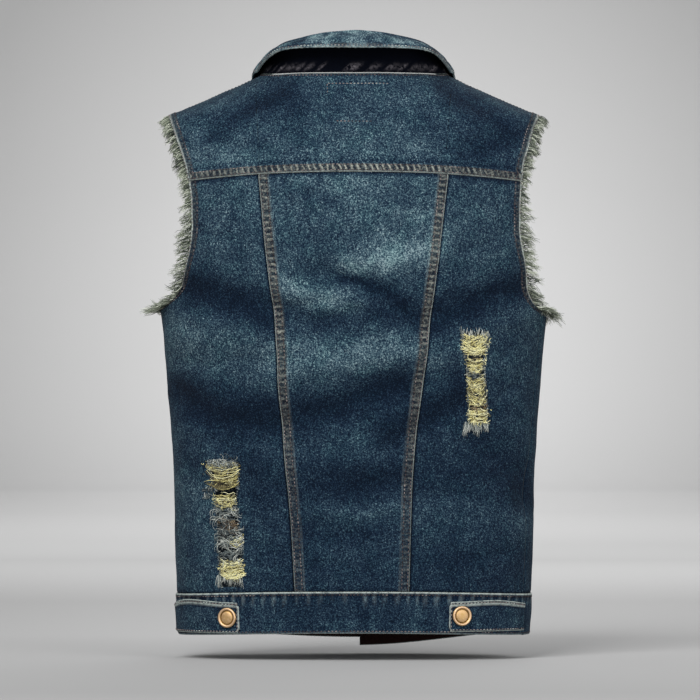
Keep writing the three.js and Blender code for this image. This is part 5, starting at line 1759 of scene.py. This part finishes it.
class Topstitching(bpy.types.Operator):
    """Sews every row of topstitching, as single stitches."""

    bl_idname = "vest.topstitching"
    bl_label = "Topstitching"

    def execute(self, context):
        sizes, colours = settings()
        worn, full = tuple(colours.thread_worn), tuple(colours.thread)
        thread = finish_named("brown_thread", thread_finish, worn, full)
        pale = finish_named("pale_thread", thread_finish, tuple(colours.worn_edge), worn)
        centre, top = centre_panel(), yoke()
        outer_row, inner_row = SEWN_ARMHOLE
        seams = [top.line_across(away) for away in SEWN_YOKE]
        arm_edges = []
        for side in SIDES:
            seams += [centre.line_down(away, side) for away in SEWN_PRINCESS]
            seams.append(top.line_down(inner_row, side))
            arm_edges.append(top.line_down(outer_row, side))
        seams.append(top.line_across(SEWN_SHOULDER, "bottom"))
        stitching("topstitching_back", seams, sizes, thread)
        arm_rows = []
        for side in SIDES:
            for c in (side_panel(side), front_panel(side)):
                for away, rows in ((outer_row, arm_edges), (inner_row, arm_rows)):
                    line = c.line_down(away, "right")
                    rows.append(line[line[:, 2] > UNDERARM_Z - 2])
            arm_rows += [c.line_down(SEWN_FRONT, "left") for c in (front_panel(side), placket(side))]
        stitching("topstitching_armholes", arm_rows, sizes, thread)
        band_rows = []
        for band in (band_back(), *(band_front(side) for side in SIDES)):
            band_rows += [band.line_across(SEWN_BAND_TOP), band.line_across(SEWN_BAND_FOOT, "bottom")]
        stitching("topstitching_waistband", band_rows, sizes, thread)
        pale_rows = [collar().line_down(SEWN_EDGE, "right")]
        for side in SIDES:
            c = tab(side)
            pale_rows += [c.line_across(SEWN_EDGE), c.line_across(SEWN_EDGE, "bottom"),
                          c.line_down(SEWN_EDGE, "right")]
        stitching("topstitching_edges", pale_rows + arm_edges, sizes, pale)
        tacks = tack_lines()
        stitching("label_stitches", tacks[:2], sizes, pale)
        stitching("label_foot_stitches", tacks[2:], sizes, thread)
        return {"FINISHED"}


# The short rows of sewing that show on the yoke below the neck, each from an x and z to another.
TACK_ROWS = [[(-29.5, -13), (38.5, -13.5)], [(-29.5, -13), (-29, -26)], [(-20, -55), (20, -55.5)]]


def tack_lines():
    lines = []
    for start, end in TACK_ROWS:
        x, z = (mix(start[k], end[k], np.linspace(0, 1, 60)) for k in (0, 1))
        places = seat(x, z)
        base = form_point(places[:, 0], places[:, 1])
        normal = unit(form_slope(base))
        lines.append(np.column_stack([base + normal * (relief(base) - 0.05)[:, None], normal]))
    return lines


# The colours that each kind of loose yarn takes, from its darkest tone to its palest.
FRINGE_STOPS = [(0.0, (0.008, 0.014, 0.013)), (0.26, (0.050, 0.066, 0.050)), (0.50, (0.27, 0.31, 0.22)),
                (0.86, (0.78, 0.81, 0.70))]
RIP_STOPS = {
    "weft": [(0.0, (0.030, 0.024, 0.014)), (0.25, (0.13, 0.10, 0.045)), (0.42, (0.52, 0.46, 0.19)),
             (0.60, (0.90, 0.82, 0.34)), (0.85, (1.0, 0.97, 0.60))],
    "warp": [(0.0, (0.012, 0.020, 0.030)), (0.35, (0.06, 0.085, 0.095)), (0.66, (0.36, 0.40, 0.37)),
             (0.95, (0.86, 0.88, 0.80))],
    "brown": [(0.0, (0.02, 0.02, 0.02)), (0.4, (0.10, 0.07, 0.045)), (0.8, (0.26, 0.19, 0.10)),
              (1.0, (0.42, 0.36, 0.24))],
}
# Tufts are short warp ends and fluff is short weft ends.
YARN_OF = {"weft": "weft", "fluff": "weft", "warp": "warp", "tuft": "warp", "brown": "brown"}


class ArmholeFringe(bpy.types.Operator):
    """Frays both armholes: yarns from the raw edge, in uneven tangled locks."""

    bl_idname = "vest.armhole_fringe"
    bl_label = "Armhole fringe"

    def execute(self, context):
        sizes, colours = settings()
        yarn = finish_named("fringe_strands", yarn_finish, FRINGE_STOPS, 0.3)
        for index, side in enumerate(SIDES):
            paths, widths, tones = fringe_paths(side, index, sizes)
            strands(f"fringe_{side}", paths, widths, tones, yarn, 0.4,
                    [f"armhole_fringe_{side}"])
        return {"FINISHED"}


def fringe_paths(side, index, sizes):
    """Paths, widths and tones of the yarns that hang from one armhole."""
    rng = np.random.default_rng(31 + index)
    loop = armhole_loop(side)
    loop = evenly(np.vstack([loop, loop[:1]]), count=ARMHOLE_STATIONS)
    count, last = sizes.fringe_count, ARMHOLE_STATIONS - 1
    stations = np.arange(ARMHOLE_STATIONS)
    pick = rng.uniform(0, last, count)
    root = np.stack([np.interp(pick, stations, loop[:, k]) for k in range(6)], -1)
    ahead = np.stack([np.interp((pick + 2) % last, stations, loop[:, k]) for k in range(3)], -1)
    at, normal = root[:, :3], unit(root[:, 3:])
    along = unit(ahead - at)
    into = unit(np.cross(along, normal))
    centre = loop[:, :3].mean(0)
    into *= np.sign(np.sum(into * (centre - at), -1, keepdims=True))
    length = pick / last * lengths_along(loop[:, :3])[-1]
    lock = np.round(length / FRINGE_LOCK) * FRINGE_LOCK

    def uneven(seed, scale=4):
        return noise_along(lock, scale, seed + index)

    lean = uneven(70) * 1.1 + rng.normal(0, 0.10, count)
    behind = smoothstep(-at[:, 1], -10, 25)
    spread = 0.45 + 1.3 * behind + 0.3 * uneven(72, 6)
    way = into * 0.75 + SIGN[side] * spread[:, None] * [1, 0, 0] + along * lean[:, None] * 0.6
    way = unit(way + normal * rng.uniform(-0.15, 0.25, count)[:, None] - UP * 0.45)
    reach = sizes.fringe_length / MM * (0.78 + 0.34 * uneven(74)) * rng.uniform(0.7, 1.05, count)
    reach = reach * mix(0.82, 1.25, smoothstep(-at[:, 2], 120, 185))
    bend = unit(np.cross(way, normal)) * rng.normal(0, 0.2, count)[:, None]
    bend = bend + normal * rng.normal(0, 0.1, count)[:, None]
    t = np.linspace(0, 1, FRINGE_POINTS)[None, :, None]
    begin = at - into * 1.0 + normal * rng.uniform(-1.5, -0.2, count)[:, None]
    curl = np.sin(t * math.pi * rng.uniform(0.8, 1.8, count)[:, None, None])
    shape = way[:, None] * t + bend[:, None] * curl * 0.8 - UP * 0.16 * t**2
    gather = (lock - length)[:, None, None] * along[:, None] * 0.7 * np.sqrt(t)
    paths = begin[:, None] + reach[:, None, None] * shape + gather
    widths = sizes.fringe_yarn / MM * rng.uniform(0.5, 1.15, count)
    # Yarns at the edges of a lock are darker, a painted shade between the locks; some yarns are dark indigo.
    outer = np.abs(lock - length) / (FRINGE_LOCK / 2)
    dark = rng.uniform(0, 1, count) < 0.28
    tones = 0.84 - 0.68 * outer + 0.28 * uneven(76) - 0.5 * dark + rng.normal(0, 0.1, count)
    return paths, widths, np.clip(tones, 0, 1)


def armhole_loop(side):
    """The raw edge round one armhole, with its normals, from the shoulder down the back and up the front."""
    shoulder = yoke().line_down(0.0, side)[::-1]
    back = side_panel(side).line_down(0.0, "right")[PANEL_DOWN <= ARM_SHARE]
    front = front_panel(side).line_down(0.0, "right")[:FRONT_ARM_ROWS]
    return np.vstack([shoulder, back, front[::-1]])


class RipYarns(bpy.types.Operator):
    """Fills both rips with the weft and warp yarns that wear has left in them."""

    bl_idname = "vest.rip_yarns"
    bl_label = "Rip yarns"

    def execute(self, context):
        sizes, colours = settings()
        finishes = {kind: finish_named(f"{kind}_strands", yarn_finish, RIP_STOPS[kind]) for kind in RIP_STOPS}
        for index, side in enumerate(SIDES):
            groups = {}
            for number, row in enumerate(RIP_YARNS[side]):
                made = yarn_paths(row, np.random.default_rng(100 * index + number))
                groups.setdefault(YARN_OF[row[0]], []).append(made)
            groups.setdefault("warp", []).append(edge_fray(side, np.random.default_rng(900 + index)))
            for kind, made in groups.items():
                paths, widths, tones = (np.concatenate(parts) for parts in zip(*made))
                widths = widths * sizes.weft_width / MM
                replaced = [f"rip_weft_yarns_{side}"] if kind == "weft" else []
                strands(f"{kind}_in_rip_{side}", paths, widths, tones, finishes[kind], 0.55, replaced)
        return {"FINISHED"}


def on_back(x, z, out):
    """Points on the back's cloth at x and z, moved straight out by some mm."""
    shape = x.shape
    places = seat(x.ravel(), z.ravel())
    base = form_point(places[:, 0], places[:, 1])
    y = (base + unit(form_slope(base)) * relief(base)[:, None])[:, 1].reshape(shape)
    return np.stack([x, y - out, z], -1)


class Draws:
    """Random columns for one group of yarns."""

    def __init__(self, rng, count):
        self.rng = rng
        self.count = count

    def even(self, low, high):
        return self.rng.uniform(low, high, (self.count, 1))

    def normal(self, middle, spread):
        return self.rng.normal(middle, spread, (self.count, 1))


def patchy(x, z, scale, seed):
    return noise(np.stack([x, z, 0 * x], -1), scale, seed)


def yarn_paths(row, rng):
    """Paths, widths and tones of one group of yarns in a rip."""
    kind, _, _, top, bottom, count, pale = row
    draw = Draws(rng, count)
    # Every group draws its starting heights first, though only the tufts use them.
    start = mix(bottom, top, draw.even(0, 1))
    make = {"weft": weft_yarns, "warp": warp_yarns}.get(kind, tufts)
    x, z, out, tones, widths = make(row, draw, np.linspace(0, 1, RIP_POINTS)[None], start)
    return on_back(x, z, out), widths, np.clip(tones + pale, 0, 1)


def weft_yarns(row, draw, t, _start):
    """Wefts that cross the rip, sagging, some broken and some pulled to a spike."""
    _, left, right, top, bottom, count, _ = row
    fate = draw.even(0, 1)
    broken, spike = fate < 0.45, fate < 0.25
    flip = draw.even(0, 1) < 0.5
    sag = draw.even(0.1, 0.5) * (top - bottom)
    z0 = draw.even(bottom, top) + sag * 0.5
    x0 = np.where(flip, right, left) + draw.normal(0, 1.2)
    x1 = np.where(flip, left, right) + draw.normal(0, 1.2)
    x1 = np.where(broken, mix(x0, x1, draw.even(0.2, 0.8)), x1)
    x1 = np.where(spike, mix(x0, x1, draw.even(-0.2, 0.12)), x1)
    phase = draw.even(0, 6)
    x = mix(x0, x1, t) + 0.8 * np.sin(t * 8 + phase)
    droop = np.where(spike, draw.even(-4, 4), draw.normal(1.5, 3.0))
    hang = np.where(broken, droop * t**1.4, sag * np.sin(t * math.pi))
    z = z0 - hang + 0.8 * np.cos(t * 8 + phase) + 1.6 * patchy(x, z0 + 0 * x, 4, 81)
    z = np.clip(z, bottom - 1.5, top + 3)
    out = draw.even(-1.6, 1.0) + 3.2 * np.sin(t * math.pi) * draw.even(0, 1)
    # Yarns set deeper in the rip are darker, a painted shade; the rest is a patchy and random tone.
    tones = 0.36 + 0.18 * np.clip(out.max(1), -1, 3) + 0.4 * patchy(x.mean(1), z.mean(1), 5, 83)
    tones = tones + draw.rng.normal(0, 0.26, count)
    return x, z, out, tones, draw.rng.uniform(0.45, 1.0, count)


def warp_yarns(row, draw, t, _start):
    """Warp ends that hang from an edge of the rip, gathered in locks."""
    _, left, right, top, bottom, count, _ = row
    x0 = draw.even(left, right)
    lock = np.round(x0 / WARP_LOCK) * WARP_LOCK
    lean = draw.normal(0, 0.14) + 0.45 * noise_along(lock, 4, 82)
    reach = (top - bottom) * draw.even(0.6, 1.0) * (0.8 + 0.4 * noise_along(lock, 4, 86))
    x = mix(x0, lock, 0.6 * t) + lean * reach * t + draw.normal(0, 0.5) * np.sin(t * math.pi * 1.4)
    z = top - draw.even(0, 2.5) - reach * t
    out = 0.4 + draw.even(0.2, 2.4) * t
    # Yarns at the edges of a lock are darker, a painted shade between the locks.
    tones = 0.95 - 0.7 * np.abs(lock - x0)[:, 0] / (WARP_LOCK / 2) + draw.rng.normal(0, 0.3, count)
    return x, z, out, tones, draw.rng.uniform(0.3, 0.6, count)


def tufts(row, draw, t, start):
    """Short curled ends, finer where they are fluff."""
    kind, left, right, top, bottom, count, _ = row
    wide, tall = right - left, top - bottom
    longest, finer = (9, 0.75) if kind == "fluff" else (min(wide, tall + 6), 1)
    x0 = draw.even(left + 0.15 * wide, right - 0.15 * wide)
    turn = 7 * patchy(x0, start, 4.5, 85) + draw.normal(0, 0.4)
    reach = draw.even(0.25, 0.75) * longest
    curl = draw.normal(0.6, 0.9)
    x = np.clip(x0 + reach * (np.cos(turn + curl * t) * t), left - 1, right + 1)
    z = start + reach * (np.sin(turn + curl * t) * t) * 0.7 - 1.5 * t
    out = draw.even(-0.5, 1.5) + 2.4 * np.sin(t * math.pi) * draw.even(0.2, 1)
    tones = 0.45 + 0.6 * patchy(x.mean(1), z.mean(1), 3.5, 84) + draw.rng.normal(0, 0.25, count)
    return x, z, out, tones, draw.rng.uniform(0.5, 0.9, count) * finer


def edge_fray(side, rng):
    """Short yarn ends round a rip's edge."""
    rows, count = RIPS[side][::-1], EDGE_FRAY_COUNT
    draw = Draws(rng, count)
    z0 = draw.even(rows[0, 0] - 1, rows[-1, 0] + 1)
    right_edge = draw.even(0, 1) < 0.5
    left, right = (np.interp(z0, rows[:, 0], rows[:, k]) for k in (1, 2))
    x0 = np.where(right_edge, right, left)
    way = np.where(right_edge, -1, 1) * draw.even(-0.5, 1)
    reach = draw.even(2, 5.5)
    t = np.linspace(0, 1, RIP_POINTS)[None]
    x = x0 - way * 0.8 + reach * way * t
    z = z0 - reach * draw.even(-0.3, 0.9) * t + draw.normal(0, 0.5) * np.sin(t * math.pi)
    out = 0.3 + draw.even(0.2, 1.8) * np.sin(t * math.pi * 0.7)
    widths = rng.uniform(0.4, 0.75, count)
    return on_back(x, z, out), widths, np.clip(0.5 + rng.normal(0, 0.22, count), 0, 1)


# A tack button's section: radius, height and how bright the metal is rubbed.
BUTTON_SECTION = [
    (0, 3.1, 0.55), (3.2, 3.05, 0.6), (6.2, 2.75, 0.7), (6.9, 2.35, 0.3), (7.3, 2.0, 0.0), (7.9, 2.05, 0.1),
    (8.4, 2.9, 0.8), (9.2, 3.45, 1.0), (10.1, 3.3, 0.9), (10.8, 2.6, 0.6), (11.0, 1.9, 0.4), (10.7, 0.9, 0.1),
    (9.6, 0.15, 0.0),
]


class Buttons(bpy.types.Operator):
    """Turns the eight tack buttons, their faces plain."""

    bl_idname = "vest.buttons"
    bl_label = "Buttons"

    def execute(self, context):
        sizes, colours = settings()
        brass = finish_named("worn_brass", brass_finish, colours)
        on_tab = BAND_RAISE + SEAM_GAP + TAB_WALL + 0.1
        for side, size in TABS.items():
            add_button(f"waist_tab_button_{side}", seat(*size["button"]), on_tab, brass)
        for number, z in enumerate(FRONT_BUTTON_Z, 1):
            rise = BAND_RAISE if z < WAIST_MID_Z else FELL_HEIGHT
            add_button(f"front_button_{number}", seat(front_middle(z), z, True, 1), rise + 0.2, brass)
        return {"FINISHED"}


def add_button(node, place, lift, brass):
    base = form_point(place[None, 0], place[None, 1])
    normal = unit(form_slope(base))[0]
    at = base[0] + normal * (relief(base)[0] + lift)
    shape = bmesh.new()
    rub = shape.verts.layers.float.new("rub")
    line = []
    for radius, height, bright in BUTTON_SECTION:
        corner = shape.verts.new((radius * MM, 0, height * MM))
        corner[rub] = bright
        line.append(corner)
    edges = [shape.edges.new(pair) for pair in zip(line, line[1:])]
    bmesh.ops.spin(shape, geom=line + edges, axis=(0, 0, 1), cent=(0, 0, 0), steps=40, angle=2 * math.pi,
                   use_merge=True)
    bmesh.ops.remove_doubles(shape, verts=shape.verts, dist=1e-6)
    bmesh.ops.edgeloop_fill(shape, edges=[e for e in shape.edges if e.is_boundary])
    bmesh.ops.recalc_face_normals(shape, faces=shape.faces)
    turn = Vector((0, 0, 1)).rotation_difference(Vector(normal)).to_matrix().to_4x4()
    bmesh.ops.transform(shape, matrix=turn, verts=shape.verts)
    bmesh.ops.translate(shape, vec=Vector(at * MM), verts=shape.verts)
    mesh = mesh_of(node + "_brass", shape)
    mesh.shade_smooth()
    mesh.materials.append(brass)
    finish_piece(bpy.data.objects.new(node + "_brass", mesh), [node])


# The backdrop, in metres: its size, the middle of its painted pool of light and the floor's painted light and
# shade, from far to near.
BACKDROP_HALF_WIDTH = 12
FLOOR_START = -12.0
FLOOR_LENGTH = 22.0
BEND_RADIUS = 1.6
WALL_HEIGHT = 7.0
BACKDROP_MIDDLE = (0.07, 0.0, -0.46)
FLOOR_PAINTED_LIGHT = ((0.14, 0), (0.29, 0.45), (0.56, 0.95), (0.72, 0.57), (0.8, 0.53), (0.91, 0.9))


class Stage(bpy.types.Operator):
    """Sets the floor and backdrop, the soft lights and the camera."""

    bl_idname = "vest.stage"
    bl_label = "Stage"

    def execute(self, context):
        stage = context.scene.vest_stage
        self.backdrop(stage)
        self.lights(stage)
        eye = bpy.data.objects.new("camera", bpy.data.cameras.new("camera"))
        context.collection.objects.link(eye)
        eye.location = (-0.0044, -0.06 - stage.camera_distance, -0.3058)
        eye.rotation_euler = (RIGHT_ANGLE, 0, 0)
        eye.data.sensor_width = 36
        eye.data.lens = 36 * stage.camera_distance / stage.view_width
        eye.data.clip_end = 60
        context.scene.camera = eye
        context.scene.view_settings.view_transform = "Standard"
        return {"FINISHED"}

    def backdrop(self, stage):
        shape = bmesh.new()
        bmesh.ops.create_grid(shape, x_segments=24, y_segments=48, size=1.0)
        for corner in shape.verts:
            y, z = sweep((corner.co.y + 1) / 2)
            corner.co = (corner.co.x * BACKDROP_HALF_WIDTH, y, stage.floor_z + z)
        mesh = mesh_of("backdrop", shape)
        mesh.shade_smooth()
        f = Finish("backdrop_paper", Roughness=0.95, Specular_IOR_Level=0.1)
        place = f.place.outputs["Object"]
        # Painted falloff of light: the paper darkens from the middle of the light towards the corners.
        away = f.vector("MULTIPLY", f.vector("SUBTRACT", place, BACKDROP_MIDDLE), (1.15, 0.0, 1.0))
        far = f.stretched(f.vector("LENGTH", away), 0.22, 1.55)
        paper_and_painted_falloff = f.blend(far, (*stage.backdrop, 1), (*stage.backdrop_painted_falloff, 1))
        split = f.nodes.new("ShaderNodeSeparateXYZ")
        f.links.new(place, split.inputs[0])
        # Painted light and shade on the floor: its shade changes from far to near to set how bright it looks.
        nearer = f.stretched(split.outputs["Y"], 11.0, -2.0)
        floor_painted_light = [(at, (shade,) * 3) for at, shade in FLOOR_PAINTED_LIGHT]
        f.colour(f.blend(f.ramp(nearer, floor_painted_light), paper_and_painted_falloff, (*stage.floor_front, 1)))
        mesh.materials.append(f.material)
        obj = bpy.data.objects.new("backdrop", mesh)
        bpy.context.collection.objects.link(obj)

    def lights(self, stage):
        vest, wall = (0, 0, -0.3), (0, FLOOR_START + FLOOR_LENGTH + BEND_RADIUS, -0.2)
        for name, power, size, at, aim in (
            ("key_light", stage.key_power, 2.2, (-1.3, -3.2, 2.3), vest),
            ("fill_light", stage.fill_power, 2.6, (2.4, -3.0, 0.6), vest),
            ("front_light", stage.front_power, 2.6, (0.8, 3.4, 1.6), vest),
            ("wall_light", stage.wall_power, 4.0, (0, 3.8, 3.6), wall),
        ):
            lamp = bpy.data.lights.new(name, "AREA")
            lamp.energy = power
            lamp.size = size
            obj = bpy.data.objects.new(name, lamp)
            obj.location = at
            obj.rotation_euler = (Vector(aim) - Vector(at)).to_track_quat("-Z", "Y").to_euler()
            bpy.context.collection.objects.link(obj)
        world = bpy.data.worlds.new("studio")
        world.use_nodes = True
        sky = world.node_tree.nodes["Background"]
        sky.inputs["Color"].default_value = (1, 1, 1, 1)
        sky.inputs["Strength"].default_value = 0.42
        bpy.context.scene.world = world


def sweep(s):
    """The backdrop's section: a floor, a wide bend and a wall, for a share from 0 to 1."""
    bend = BEND_RADIUS * RIGHT_ANGLE
    at = s * (FLOOR_LENGTH + bend + WALL_HEIGHT)
    foot = FLOOR_START + FLOOR_LENGTH
    if at < FLOOR_LENGTH:
        return FLOOR_START + at, 0.0
    if at < FLOOR_LENGTH + bend:
        turn = (at - FLOOR_LENGTH) / BEND_RADIUS
        return foot + BEND_RADIUS * math.sin(turn), BEND_RADIUS * (1 - math.cos(turn))
    return foot + BEND_RADIUS, BEND_RADIUS + at - FLOOR_LENGTH - bend


OPERATORS = (BackPanels, FrontPanels, Waistband, Collar, Topstitching, ArmholeFringe, RipYarns, Buttons,
             Stage)


class VestPanel(bpy.types.Panel):
    """The vest's pieces and settings."""

    bl_idname = "VIEW3D_PT_denim_vest"
    bl_label = "Denim vest"
    bl_space_type = "VIEW_3D"
    bl_region_type = "UI"
    bl_category = "Vest"

    def draw(self, context):
        for operator in OPERATORS:
            self.layout.operator(operator.bl_idname)
        for group in (context.scene.vest_sizes, context.scene.vest_colours, context.scene.vest_stage):
            box = self.layout.box()
            for name in group.__annotations__:
                box.prop(group, name)


CLASSES = (VestSizes, VestColours, StageSettings, *OPERATORS, VestPanel)


def register():
    for cls in CLASSES:
        bpy.utils.register_class(cls)
    bpy.types.Scene.vest_sizes = PointerProperty(type=VestSizes)
    bpy.types.Scene.vest_colours = PointerProperty(type=VestColours)
    bpy.types.Scene.vest_stage = PointerProperty(type=StageSettings)


def unregister():
    del bpy.types.Scene.vest_stage
    del bpy.types.Scene.vest_colours
    del bpy.types.Scene.vest_sizes
    for cls in reversed(CLASSES):
        bpy.utils.unregister_class(cls)


def main():
    register()
    for operator in OPERATORS:
        group, name = operator.bl_idname.split(".")
        getattr(getattr(bpy.ops, group), name)()


if __name__ == "__main__":
    main()
